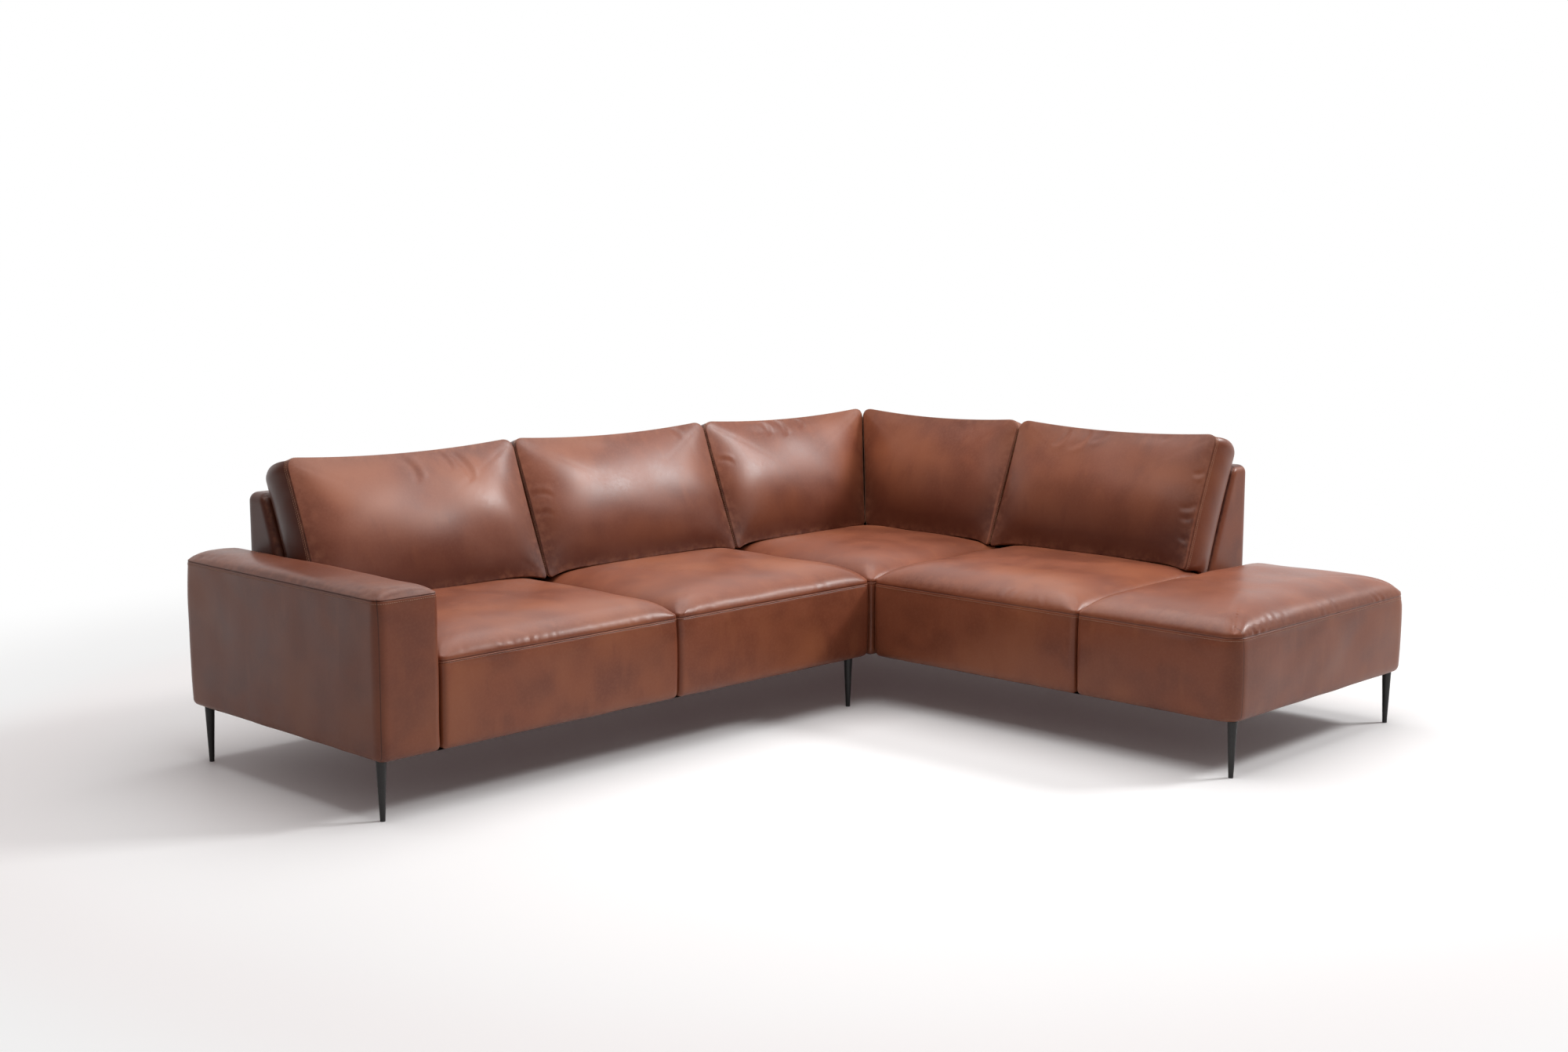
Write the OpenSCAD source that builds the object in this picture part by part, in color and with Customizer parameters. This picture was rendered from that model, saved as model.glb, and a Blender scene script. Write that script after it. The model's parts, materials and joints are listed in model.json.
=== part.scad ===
// Corner sofa in leather: two wings round a corner seat, one block arm at the left end and a
// backless seat at the right end. Five loose back cushions lift straight up off their seats.
// X runs to the right along the left wing, Y to the back, Z up from the floor.

/* [Seats] */
// Width of each of the two seats of the left wing
left_seat_w = 848; // [760:1:960]
// Width of the backed seat of the right wing
right_seat_w = 807; // [740:1:960]
// Width of the backless seat at the open end
end_seat_w = 540; // [420:1:700]
// Depth of the left wing from its front to the rear of its back
left_depth = 965; // [920:1:1060]
// Depth of the right wing from its front to the rear of its back
right_depth = 1005; // [940:1:1100]
// Height of the underside above the floor
base_z = 165; // [140:1:200]
// Height of the sewn seam round each seat
seam_z = 405; // [380:1:430]
// Rise of a seat's crown above its seam
seat_crown = 79; // [40:1:84]
// Gap between two neighbouring seats
unit_gap = 4; // [2:0.5:8]
// Radius of the upright edges where seats meet
seat_edge_r = 16; // [8:1:24]
// Radius of the upright edges beside the inner corner
nose_r = 30; // [18:1:40]
// Radius of the upright edges of the open end
end_edge_r = 55; // [40:1:80]

/* [Arm] */
// Width of the arm
arm_w = 195; // [160:1:260]
// Height of the arm's top seam
arm_seam_z = 589; // [540:1:620]
// Rise of the arm's top above its seam
arm_crown = 28; // [10:1:30]
// Radius of the arm's upright edges
arm_edge_r = 26; // [20:1:48]

/* [Back] */
// Height of the backrest's top
back_z = 771; // [720:1:820]
// Thickness of the backrest at its top
back_top_t = 92; // [84:1:120]
// Angle of the backrest's front and of the cushions from upright, in degrees
lean = 21.5; // [18:0.5:23]
// Height at which the backrest's front turns from upright to sloping
back_knee_z = 398; // [385:1:402]
// Radius of the backrest's top edges
back_edge_r = 27; // [12:1:30]
// Radius of the backrest's upright outer edge at the corner
corner_round = 38; // [20:1:50]
// Gap between the backrest's end and the arm
back_inset_left = 12; // [4:1:30]
// Gap between the backrest's end and the backless seat
back_inset_right = 37; // [10:1:60]

/* [Back cushions] */
// Length of a back cushion up its slope
cushion_h = 444; // [400:1:500]
// Thickness of a back cushion between its two seams
cushion_t = 126; // [100:1:140]
// Bulge of a cushion's front face
front_bulge = 27; // [15:1:40]
// Bulge of a cushion's rear face
rear_bulge = 9; // [4:1:9]
// Dip of a cushion's top edge between its corners
top_dip = 18; // [6:1:26]
// Draw-in of a cushion's ends between its corners
side_dip = 4; // [1:0.5:8]
// Radius of a cushion's top corners
cushion_top_r = 36; // [20:1:50]
// Radius of a cushion's bottom corners
cushion_foot_r = 18; // [12:1:40]
// Gap between two cushions
cushion_gap = 6; // [3:0.5:10]
// Gap between the arm and the first cushion
arm_to_cushion = 28; // [20:1:80]
// How far the second and third cushions' joint lies before the corner seat
joint_shift = 20; // [0:1:40]
// How far the last cushions' joint lies over the corner seat
cushion_shift = 27; // [10:1:40]
// Depth that a cushion sinks below the crown of its seat
cushion_nest = 13; // [4:1:24]
// Length of the zip in a cushion's underside
zip_l = 420; // [300:1:480]
// Width of the zip's opening
zip_w = 16; // [12:1:22]

/* [Legs] */
// Radius of a leg at its top
leg_top_r = 14; // [11:0.5:16]
// Radius of a leg at the floor
leg_foot_r = 7.2; // [6:0.1:10]
// Distance from the side of the sofa to the middle of a leg
leg_side = 31; // [28:1:34]
// Distance from the front of a wing to the middle of a leg
leg_front = 45; // [34:1:52]
// Distance from the rear of a wing to the middle of a leg
leg_rear = 55; // [52:1:70]
// Distance of a leg from the joint between two units
leg_joint = 62; // [56:1:70]
// Thickness of the glide under each leg
glide_t = 4; // [3:0.5:6]

/* [Construction] */
// Thickness of a cover with its wadding
padding = 20; // [18:1:24]
// Thickness of a cushion's cover with its lining
cushion_wall = 10; // [9:1:12]
// Thickness of the frame boards
board = 25; // [20:1:30]
// Height of the seat frames
rail_h = 112; // [90:1:120]
// Thickness of the arm's top pad
arm_pad_t = 34; // [25:1:45]
// Thickness of the foam on the backrest's front
back_foam_t = 30; // [20:1:40]
// Thickness of a seat strap
strap_t = 1.5; // [1:0.25:2.5]
// Width of a seat strap
strap_w = 60; // [40:1:70]
// Thickness of the lining under the sofa
lining_t = 1; // [0.8:0.1:2]
// Thickness of the steel plates that link the units
link_t = 3; // [2:0.5:4]
// Width of a link plate
link_w = 32; // [24:1:36]

/* [Hidden] */
$fn = 48;
fit = 0.4;
touch_gap = 0.5;
half_gap = unit_gap / 2;
inset = padding + fit;
corner_x = arm_w + 2 * left_seat_w;
total_x = corner_x + right_depth;
right_reach = right_seat_w + end_seat_w;
frame_top = base_z + rail_h;
foam_base = frame_top + 2 * strap_t;
pad_base = arm_seam_z - padding - arm_pad_t;
edge_roll = 18;
seat_power = 4;
cushion_power = 3;
back_bay = 400;
ledge_drop = 40;
ledge_z = back_knee_z - ledge_drop;
least_r = 3;
strap_pitch = 105;

// Thickness of the backrest below its knee, and the depth of the seats in front of it
back_base_t = back_top_t + (back_z - back_knee_z) * tan(lean);
left_back_y = left_depth - back_base_t;
right_back_y = right_depth - back_base_t;
back_frame_z = back_z - inset - back_edge_r / 2;
left_back_from = arm_w + back_inset_left;
right_back_to = right_seat_w - back_inset_right;

// Height of a cushion's front bottom seam, and its distance from the front of each wing:
// the bulge of its rear face stays touch_gap off the slope of the backrest
cushion_z = seam_z + seat_crown - cushion_nest;
cushion_reach = (cushion_t + rear_bulge + touch_gap) / cos(lean)
    + (back_z - cushion_z) * tan(lean) + back_top_t;
left_cushion_y = left_depth - cushion_reach;
right_cushion_y = right_depth - cushion_reach;

// Place along X where the mitre of the corner would meet the front of the left wing
mitre_x = corner_x + right_depth - left_depth;
mitre_gap = 1.5;
half_cushion_gap = cushion_gap / 2;

// Each seat: low corner, high corner, radii of its four upright edges from the front left one,
// how far along Y and along X its back cushion starts (far beyond it where it has none),
// height of its seam and rise of its crown
far = 2 * total_x;
seat_radii = [seat_edge_r, seat_edge_r, seat_edge_r, seat_edge_r];
seat_1 = [[arm_w + half_gap, 0], [arm_w + left_seat_w - half_gap, left_back_y - half_gap],
    seat_radii, left_cushion_y, far, seam_z, seat_crown];
seat_2 = [[arm_w + left_seat_w + half_gap, 0], [corner_x - half_gap, left_back_y - half_gap],
    [seat_edge_r, nose_r, seat_edge_r, seat_edge_r], left_cushion_y, far, seam_z, seat_crown];
corner_seat = [[corner_x + half_gap, half_gap],
    [corner_x + right_back_y - half_gap, left_back_y - half_gap],
    seat_radii, left_cushion_y, corner_x + right_cushion_y, seam_z, seat_crown];
seat_3 = [[half_gap, 0], [right_seat_w - half_gap, right_back_y - half_gap],
    [nose_r, seat_edge_r, seat_edge_r, seat_edge_r], right_cushion_y, far, seam_z, seat_crown];
end_seat = [[right_seat_w + half_gap, 0], [right_reach, right_depth],
    [seat_edge_r, end_edge_r, end_edge_r, seat_edge_r], far, far, seam_z, seat_crown];
arm = [[0, 0], [arm_w - half_gap, left_depth],
    [arm_edge_r, seat_edge_r, arm_edge_r, arm_edge_r], far, far, arm_seam_z, arm_crown];

// Ends of each back cushion along its wing: place at its front seam, and change with depth
cushion_ends = [
    [[arm_w + arm_to_cushion, 0], [arm_w + left_seat_w - half_cushion_gap, 0]],
    [[arm_w + left_seat_w + half_cushion_gap, 0], [corner_x - joint_shift - half_cushion_gap, 0]],
    [[corner_x - joint_shift + half_cushion_gap, 0], [mitre_x + left_cushion_y - mitre_gap, 1]],
    [[mitre_gap - left_cushion_y, -1], [-cushion_shift - half_cushion_gap, 0]],
    [[half_cushion_gap - cushion_shift, 0], [right_back_to - half_gap, 0]]
];

// Legs in plan, in the order of their nodes
leg_rear_y = left_depth - leg_rear;
leg_rear_x = total_x - leg_rear;
leg_end_y = leg_side - right_reach;
legs = [
    [leg_side, leg_rear_y], [leg_side, leg_front],
    [corner_x - leg_joint, leg_front], [corner_x - leg_joint, leg_rear_y],
    [leg_rear_x, leg_rear_y], [leg_rear_x, -leg_joint],
    [corner_x + leg_front, leg_end_y], [leg_rear_x, leg_end_y]
];

// Link plates in plan: the middle of each on the joint that it spans, and its turn in degrees
link_inset = 150;
seat_joint = arm_w + left_seat_w;
corner_rear_x = corner_x + right_back_y;
link_places = [
    for (x = [arm_w, seat_joint, corner_x], y = [link_inset, left_back_y - link_inset]) [x, y, 0],
    for (y = [0, -right_seat_w], x = [corner_x + link_inset, corner_rear_x - link_inset]) [x, y, 90],
    for (x = [arm_w + left_seat_w / 2, seat_joint + left_seat_w / 2, corner_x + right_back_y / 2])
        [x, left_back_y, 90],
    for (y = [left_back_y / 2, -right_seat_w / 4, -right_seat_w * 3 / 4]) [corner_rear_x, y, 0]
];
link_reach = half_gap + inset + board / 2;
link_end = 13;
screw_r = 2;
screw_head_r = 4;
screw_l = 24;
stud_r = 4;
stud_play = 0.1;
insert_r = 5.2;
countersink = 2;
glide_pin_r = 3;
glide_pin_l = 8;
block = 60;
block_h = 45;
plate_z = base_z - lining_t - link_t;
leg_z = base_z - lining_t;
zip_t = 3;
teeth_w = 3;
teeth_h = 1;
slider_l = 18;
slider_w = 10;
slider_t = 3.5;
slider_play = 0.3;
slider_end = 6;
pull_l = 24;
pull_w = 6;
pull_t = 1.2;
stud_short = 5;

leather = "#8a4a2c";
timber = "#c9a878";
foam = "#e9dfae";
dark_cloth = "#2b2b2d";
black_metal = "#232326";
steel = "#a9abae";

// Moves a shape from the plan of the left wing to the middle of the sofa's footprint
module placed() {
    translate([-total_x / 2, (right_reach - left_depth) / 2, 0]) children();
}

// Places a shape of the right wing, drawn with X along it from the corner and Y from its front
module right_wing() {
    placed() translate([corner_x, 0, 0]) rotate([0, 0, -90]) children();
}

// Leans a back cushion: its own origin is on its front bottom seam, with Z up its slope
module leaned(wing_y) {
    translate([0, wing_y, cushion_z]) rotate([-lean, 0, 0]) children();
}

// Share of a crown's height at share t of the way from its middle to its seam
function crown(t, power) = sqrt(max(0, 1 - pow(t, power)));

// A ring of points at height z
function lift(ring, z) = [for (p = ring) [p[0], p[1], z]];

// Points of an arc round c, from angle a to angle b
function arc(c, r, a, b, steps) = [
    for (k = [0:steps]) let (turn = a + (b - a) * k / steps) c + r * [cos(turn), sin(turn)]
];

// Rectangle from lo to hi drawn in by d, with steps segments to each rounded corner and side
function outline(lo, hi, radii, d, steps) = [
    for (c = [0:3])
        let (
            n = (c + 1) % 4,
            r = max(radii[c] - d, least_r),
            next_r = max(radii[n] - d, least_r),
            here = corner_centre(lo, hi, d + r, c),
            next = corner_centre(lo, hi, d + next_r, n),
            out = [cos(270 + 90 * c), sin(270 + 90 * c)],
            from = here + r * out,
            to = next + next_r * out
        )
        each concat(
            arc(here, r, 180 + 90 * c, 270 + 90 * c, steps),
            [for (k = [1:steps - 1]) from + (to - from) * k / steps]
        )
];

// Centre of corner c's arc, from the front left one round to the rear left one
function corner_centre(lo, hi, d, c) = [
    c == 1 || c == 2 ? hi[0] - d : lo[0] + d,
    c > 1 ? hi[1] - d : lo[1] + d
];

// Closed solid through a pile of rings, from the first point down to the last
module ring_solid(first, rings, last) {
    n = len(rings[0]);
    points = concat([first], [for (ring = rings) each ring], [last]);
    end = len(points) - 1;
    polyhedron(points, concat(
        [for (i = [0:n - 1]) [0, 1 + (i + 1) % n, 1 + i]],
        [for (j = [0:len(rings) - 2], i = [0:n - 1])
            let (a = 1 + j * n + i, b = 1 + j * n + (i + 1) % n)
            each [[a, b, b + n], [a, b + n, a + n]]],
        [for (i = [0:n - 1]) [end - n + i, end - n + (i + 1) % n, end]]
    ));
}

// Height of a seat's top at p: its crown, or lower where a back cushion leans into it
function seat_top(seat, p, t, d) = min(
    seat[5] + seat[6] * crown(t, seat_power) - d,
    cushion_z - touch_gap - d - (p[1] - seat[3]) * tan(lean),
    cushion_z - touch_gap - d - (p[0] - seat[4]) * tan(lean)
);

// Solid of a seat drawn in by d, down to low, with its bottom edges rolled in by roll
module seat_solid(seat, d, low, roll, steps, shares) {
    middle = (seat[0] + seat[1]) / 2;
    edge = outline(seat[0], seat[1], seat[2], d, steps);
    rolled = outline(seat[0], seat[1], seat[2], d + roll * 0.3, steps);
    tucked = outline(seat[0], seat[1], seat[2], d + roll * 0.9, steps);
    top = [for (t = shares) [for (q = edge)
        let (p = middle + t * (q - middle)) [p[0], p[1], seat_top(seat, p, t, d)]]];
    sides = roll > 0 ? [lift(edge, low + roll), lift(rolled, low + roll * 0.3), lift(tucked, low)]
        : [lift(edge, low)];
    ring_solid([middle[0], middle[1], seat_top(seat, middle, 0, d)],
        concat(top, sides), [middle[0], middle[1], low]);
}

// Cover of a seat or of the arm, open below, where it is stapled under its frame
module padded_cover(seat) {
    color(leather) difference() {
        seat_solid(seat, 0, base_z, edge_roll, 4, [0.3, 0.6, 0.78, 0.9, 0.97, 1]);
        seat_solid(seat, padding, base_z - 1, 0, 2, [0.6, 0.9, 1]);
    }
}

// Foam under the top of a seat or of the arm, from low up to its cover
module padded_foam(seat, low) {
    color(foam) seat_solid(seat, inset, low, 0, 2, [0.6, 0.9, 1]);
}

// Footprint inside a cover, from the underside up
module footprint(seat, h) {
    translate([0, 0, base_z]) linear_extrude(h) polygon(outline(seat[0], seat[1], seat[2], inset, 2));
}

// Boards on edge round a footprint and across its middle, with any more pieces given
module box_frame(seat, h) {
    lo = seat[0] + [inset, inset];
    hi = seat[1] - [inset, inset];
    intersection() {
        footprint(seat, h);
        union() {
            for (y = [lo[1], hi[1] - board]) translate([lo[0], y, base_z]) cube([hi[0] - lo[0], board, h]);
            for (x = [lo[0], (lo[0] + hi[0] - board) / 2, hi[0] - board])
                translate([x, lo[1], base_z]) cube([board, hi[1] - lo[1], h]);
            children();
        }
    }
}

// Block round each leg stud at the given places
module leg_blocks(places) {
    for (p = places) translate([p[0] - block / 2, p[1] - block / 2, base_z]) cube([block, block, block_h]);
}

// Place in the right wing's own plan of a place in the plan of the left wing
function in_right_wing(p) = [-p[1], p[0] - corner_x];

// Places a shape at each link screw, on the underside of its link plate
module at_screws() {
    placed() for (p = link_places)
        translate([p[0], p[1], plate_z]) rotate([0, 0, p[2]])
            for (s = [-1, 1]) translate([s * link_reach, 0, 0]) children();
}

// Places a shape at the given legs, on the underside of the lining
module at_legs(places) {
    placed() for (p = places) translate([p[0], p[1], leg_z]) children();
}

// Frame with its holes for the link screws and the leg inserts
module drilled() {
    color(timber) difference() {
        children();
        at_screws() cylinder(r = screw_r, h = screw_l);
        at_legs(legs) cylinder(r = insert_r, h = lining_t + block_h);
    }
}

// Straps under a seat's foam: one layer from front to back, the next across
module seat_straps(seat) {
    lo = seat[0] + [inset, inset];
    span = seat[1] - lo - [inset, inset];
    across = floor((span[0] - strap_w) / strap_pitch);
    deep = floor((span[1] - strap_w) / strap_pitch);
    intersection() {
        footprint(seat, rail_h + 2 * strap_t);
        union() {
            for (i = [0:across])
                translate([lo[0] + i * (span[0] - strap_w) / across, lo[1], frame_top])
                    cube([strap_w, span[1], strap_t]);
            for (i = [0:deep])
                translate([lo[0], lo[1] + i * (span[1] - strap_w) / deep, frame_top + strap_t])
                    cube([span[0], strap_w, strap_t]);
        }
    }
}

// Depth of the backrest's sloping front at height z, d inside its surface
function back_face(depth, z, d) = depth - back_top_t - (back_z - z) * tan(lean) + d / cos(lean);

// Height at which the backrest's front turns, d inside its surface
function knee(d) = back_knee_z - d * (1 / cos(lean) - 1) / tan(lean);

// Section of the backrest drawn in by d, down to low: depth from the wing's front, then height
function back_section(depth, d, low) =
    let (
        r = max(back_edge_r - d, least_r),
        z = back_z - d - r,
        upright = depth - back_base_t + d
    )
    concat(
        [[upright, low], [depth - d, low]],
        arc([depth - d - r, z], r, 0, 90, 6),
        arc([back_face(depth, z, d) + r / cos(lean), z], r, 90, 180 - lean, 5),
        [[upright, knee(d)]]
    );

// Section of the backrest's frame behind its foam, out to rear, with a ledge under the foam
function frame_section(depth, rear, low) =
    let (
        d = inset + back_foam_t,
        upright = depth - back_base_t + inset
    )
    [
        [upright, low], [rear, low], [rear, back_frame_z], [back_face(depth, back_frame_z, d), back_frame_z],
        [upright + back_foam_t, knee(d)], [upright + back_foam_t, ledge_z], [upright, ledge_z]
    ];

// Extrudes a section along its wing
module along_wing(from, to) {
    translate([from, 0, 0]) rotate([90, 0, 90]) linear_extrude(to - from) children();
}

// Keeps the side of a corner piece before the mitre: 1 on the left wing, -1 on the right
module mitred(side) {
    difference() {
        children();
        translate([mitre_x, 0, 0]) rotate([0, 0, 45])
            translate([-far, side > 0 ? fit / 2 - far : -fit / 2, -1]) cube([2 * far, far, back_z + 2]);
    }
}

// Cover of a backrest, open below, and past its ends where they have no wall
module back_shell(depth, from, to, wall_from, wall_to) {
    difference() {
        along_wing(from, to) polygon(back_section(depth, 0, base_z));
        along_wing(from + wall_from, to - wall_to) polygon(back_section(depth, padding, base_z - 1));
    }
}

// Rounds the upright outer edge of the corner
module corner_rounded() {
    difference() {
        children();
        translate([total_x - corner_round, left_depth - corner_round, base_z - 1]) difference() {
            cube([corner_round + 1, corner_round + 1, back_z]);
            translate([0, 0, -1]) cylinder(r = corner_round, h = back_z + 2);
        }
    }
}

// Shaped boards across a backrest, on a base board and under a top board
module back_boards(depth, from, to) {
    bays = max(1, round((to - from) / back_bay));
    front = depth - back_base_t + inset;
    rear = depth - inset;
    top_y = back_face(depth, back_frame_z, inset + back_foam_t);
    for (i = [0:bays]) {
        x = from + i * (to - from - board) / bays;
        along_wing(x, x + board) polygon(frame_section(depth, rear, base_z));
    }
    translate([from, front, base_z]) cube([to - from, rear - front, board]);
    translate([from, top_y, back_frame_z - board]) cube([to - from, rear - top_y, board]);
}

// Foam on the front and top of a backrest's frame
module back_pad(depth, from, to) {
    difference() {
        along_wing(from, to) polygon(back_section(depth, inset, ledge_z));
        along_wing(from - 1, to + 1) polygon(frame_section(depth, depth, base_z));
    }
}

// A point of a back cushion: p along and up it, both from 0 to 1, and y into it from its front
function cushion_point(ends, p, y) =
    let (
        z = cushion_h * p[1] - top_dip * pow(p[1], 2) * 4 * p[0] * (1 - p[0]),
        depth = y * cos(lean) + z * sin(lean),
        draw = side_dip * 4 * p[1] * (1 - p[1]),
        lo = ends[0][0] + ends[0][1] * depth + draw,
        hi = ends[1][0] + ends[1][1] * depth - draw
    )
    [lo + (hi - lo) * p[0], y, z];

// Solid of a back cushion drawn in by d
module cushion_solid(ends, d, steps, shares) {
    span = ends[1][0] - ends[0][0];
    middle = [0.5, 0.5];
    radii = [cushion_foot_r, cushion_foot_r, cushion_top_r, cushion_top_r];
    edge = [for (q = outline([0, 0], [span, cushion_h], radii, d, steps)) [q[0] / span, q[1] / cushion_h]];
    function ring(t, y) = [for (q = edge) cushion_point(ends, middle + t * (q - middle), y)];
    count = len(shares);
    front = [for (t = shares) ring(t, d - front_bulge * crown(t, cushion_power))];
    rear = [for (i = [1:count])
        let (t = shares[count - i]) ring(t, cushion_t - d + rear_bulge * crown(t, cushion_power))];
    ring_solid(cushion_point(ends, middle, d - front_bulge), concat(front, rear),
        cushion_point(ends, middle, cushion_t - d + rear_bulge));
}

// Places back cushion i against its backrest
module cushion_placed(i) {
    if (i < 3) placed() leaned(left_cushion_y) children();
    else right_wing() leaned(right_cushion_y) children();
}

// Start along the wing of a cushion's zip, which is centred in its underside
function zip_start(ends) =
    let (depth = cushion_t / 2 * cos(lean))
    (ends[0][0] + ends[1][0] + (ends[0][1] + ends[1][1]) * depth - zip_l) / 2;

module cushion_cover(i) {
    ends = cushion_ends[i];
    color(leather) cushion_placed(i) difference() {
        cushion_solid(ends, 0, 4, [0.35, 0.62, 0.8, 0.92, 1]);
        cushion_solid(ends, cushion_wall, 2, [0.6, 0.9, 1]);
        translate([zip_start(ends), (cushion_t - zip_w) / 2, -1]) cube([zip_l, zip_w, cushion_wall + 2]);
    }
}

module cushion_core(i) {
    color(foam) cushion_placed(i) cushion_solid(cushion_ends[i], cushion_wall + fit, 2, [0.6, 0.9, 1]);
}

// Closed zip in the slot of a cushion's underside: its tapes, with the teeth as a rib below
module cushion_zip(i) {
    color(dark_cloth) cushion_placed(i) translate([zip_start(cushion_ends[i]), cushion_t / 2, 0]) {
        translate([0, -zip_w / 2, cushion_wall - zip_t]) cube([zip_l, zip_w, zip_t]);
        translate([0, -teeth_w / 2, cushion_wall - zip_t - teeth_h]) cube([zip_l, teeth_w, teeth_h]);
    }
}

// Slider that straddles the zip's teeth, with its pull tab flat below it
module cushion_slider(i) {
    low = cushion_wall - zip_t - slider_play - slider_t;
    color(steel) cushion_placed(i)
        translate([zip_start(cushion_ends[i]) + slider_end, cushion_t / 2, low]) {
            difference() {
                translate([0, -slider_w / 2, 0]) cube([slider_l, slider_w, slider_t]);
                translate([-1, -teeth_w / 2 - slider_play, slider_t - teeth_h])
                    cube([slider_l + 2, teeth_w + 2 * slider_play, teeth_h + 1]);
            }
            translate([slider_l / 2, -pull_w / 2, -pull_t]) cube([pull_l, pull_w, pull_t]);
        }
}

// Tapered leg on a stud that screws into the frame
module leg(i) {
    color(black_metal) at_legs([legs[i]]) {
        difference() {
            translate([0, 0, glide_t - leg_z]) cylinder(r1 = leg_foot_r, r2 = leg_top_r, h = leg_z - glide_t);
            translate([0, 0, glide_t - leg_z]) cylinder(r = glide_pin_r, h = glide_pin_l);
        }
        cylinder(r = stud_r, h = lining_t + block_h - stud_short);
    }
}

// Sheet of lining under one unit, with holes for its screws and studs
module lining(lo, hi, radii) {
    translate([0, 0, leg_z]) linear_extrude(lining_t) polygon(outline(lo, hi, radii, edge_roll, 3));
}

module arm_frame() {
    drilled() placed() box_frame(arm, pad_base - base_z) {
        translate([0, 0, pad_base - board]) cube([arm_w, left_depth, board]);
        leg_blocks([legs[0], legs[1]]);
    }
}
module arm_pad() {
    placed() padded_foam(arm, pad_base);
}
module arm_cover() {
    placed() padded_cover(arm);
}

module seat_1_frame() {
    drilled() placed() box_frame(seat_1, rail_h);
}
module seat_1_foam() {
    placed() padded_foam(seat_1, foam_base);
}
module seat_1_cover() {
    placed() padded_cover(seat_1);
}

module seat_2_frame() {
    drilled() placed() box_frame(seat_2, rail_h) leg_blocks([legs[2]]);
}
module seat_2_foam() {
    placed() padded_foam(seat_2, foam_base);
}
module seat_2_cover() {
    placed() padded_cover(seat_2);
}

module corner_seat_frame() {
    drilled() placed() box_frame(corner_seat, rail_h);
}
module corner_seat_foam() {
    placed() padded_foam(corner_seat, foam_base);
}
module corner_seat_cover() {
    placed() padded_cover(corner_seat);
}

module seat_3_frame() {
    drilled() right_wing() box_frame(seat_3, rail_h);
}
module seat_3_foam() {
    right_wing() padded_foam(seat_3, foam_base);
}
module seat_3_cover() {
    right_wing() padded_cover(seat_3);
}

module end_seat_frame() {
    drilled() right_wing() box_frame(end_seat, rail_h)
        leg_blocks([in_right_wing(legs[6]), in_right_wing(legs[7])]);
}
module end_seat_foam() {
    right_wing() padded_foam(end_seat, foam_base);
}
module end_seat_cover() {
    right_wing() padded_cover(end_seat);
}

module seat_webbing() {
    color(dark_cloth) {
        placed() for (seat = [seat_1, seat_2, corner_seat]) seat_straps(seat);
        right_wing() for (seat = [seat_3, end_seat]) seat_straps(seat);
    }
}

module left_back_frame() {
    drilled() placed() {
        back_boards(left_depth, left_back_from + inset, corner_x - half_gap - inset);
        leg_blocks([legs[3]]);
    }
}
module corner_back_frame() {
    drilled() {
        placed() back_boards(left_depth, corner_x + half_gap + inset, total_x - inset);
        right_wing() back_boards(right_depth, inset - left_depth, -half_gap - inset);
        placed() leg_blocks([legs[4]]);
    }
}
module right_back_frame() {
    drilled() right_wing() {
        back_boards(right_depth, half_gap + inset, right_back_to - inset);
        leg_blocks([in_right_wing(legs[5])]);
    }
}

module back_foam() {
    color(foam) {
        placed() back_pad(left_depth, left_back_from + inset, corner_x - half_gap - inset);
        placed() mitred(1) back_pad(left_depth, corner_x + half_gap + inset, total_x - inset);
        placed() mitred(-1) translate([corner_x, 0, 0]) rotate([0, 0, -90])
            back_pad(right_depth, inset - left_depth, -half_gap - inset);
        right_wing() back_pad(right_depth, half_gap + inset, right_back_to - inset);
    }
}

module left_back_cover() {
    color(leather) placed()
        back_shell(left_depth, left_back_from, corner_x - half_gap, padding, padding);
}
module corner_back_cover_left() {
    color(leather) placed() mitred(1) corner_rounded()
        back_shell(left_depth, corner_x + half_gap, total_x, padding, -1);
}
module corner_back_cover_right() {
    color(leather) placed() mitred(-1) corner_rounded() translate([corner_x, 0, 0]) rotate([0, 0, -90])
        back_shell(right_depth, -left_depth, -half_gap, -1, padding);
}
module right_back_cover() {
    color(leather) right_wing()
        back_shell(right_depth, half_gap, right_back_to, padding, padding);
}

module base_lining() {
    color(dark_cloth) difference() {
        union() {
            placed() lining([0, 0], [corner_x, left_depth], [arm_edge_r, nose_r, seat_edge_r, arm_edge_r]);
            placed() lining([corner_x, 0], [total_x, left_depth],
                [seat_edge_r, seat_edge_r, corner_round, seat_edge_r]);
            right_wing() lining([0, 0], [right_reach, right_depth],
                [nose_r, end_edge_r, end_edge_r, seat_edge_r]);
        }
        at_screws() cylinder(r = screw_r, h = screw_l);
        at_legs(legs) translate([0, 0, -1]) cylinder(r = stud_r + stud_play, h = lining_t + 2);
    }
}

module link_plates() {
    length = 2 * (link_reach + link_end);
    color(steel) difference() {
        placed() for (p = link_places)
            translate([p[0], p[1], plate_z]) rotate([0, 0, p[2]])
                translate([-length / 2, -link_w / 2, 0]) cube([length, link_w, link_t]);
        at_screws() {
            translate([0, 0, -1]) cylinder(r = screw_r, h = link_t + 2);
            cylinder(r1 = screw_head_r, r2 = screw_r, h = countersink);
        }
    }
}
module link_screws() {
    color(steel) at_screws() {
        cylinder(r1 = screw_head_r, r2 = screw_r, h = countersink);
        cylinder(r = screw_r, h = screw_l);
    }
}
module leg_inserts() {
    color(steel) at_legs(legs) translate([0, 0, lining_t]) difference() {
        cylinder(r = insert_r, h = block_h);
        translate([0, 0, -1]) cylinder(r = stud_r + stud_play, h = block_h + 2);
    }
}
module leg_glides() {
    color(dark_cloth) at_legs(legs) translate([0, 0, -leg_z]) {
        cylinder(r = leg_foot_r, h = glide_t);
        cylinder(r = glide_pin_r, h = glide_t + glide_pin_l);
    }
}
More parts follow.
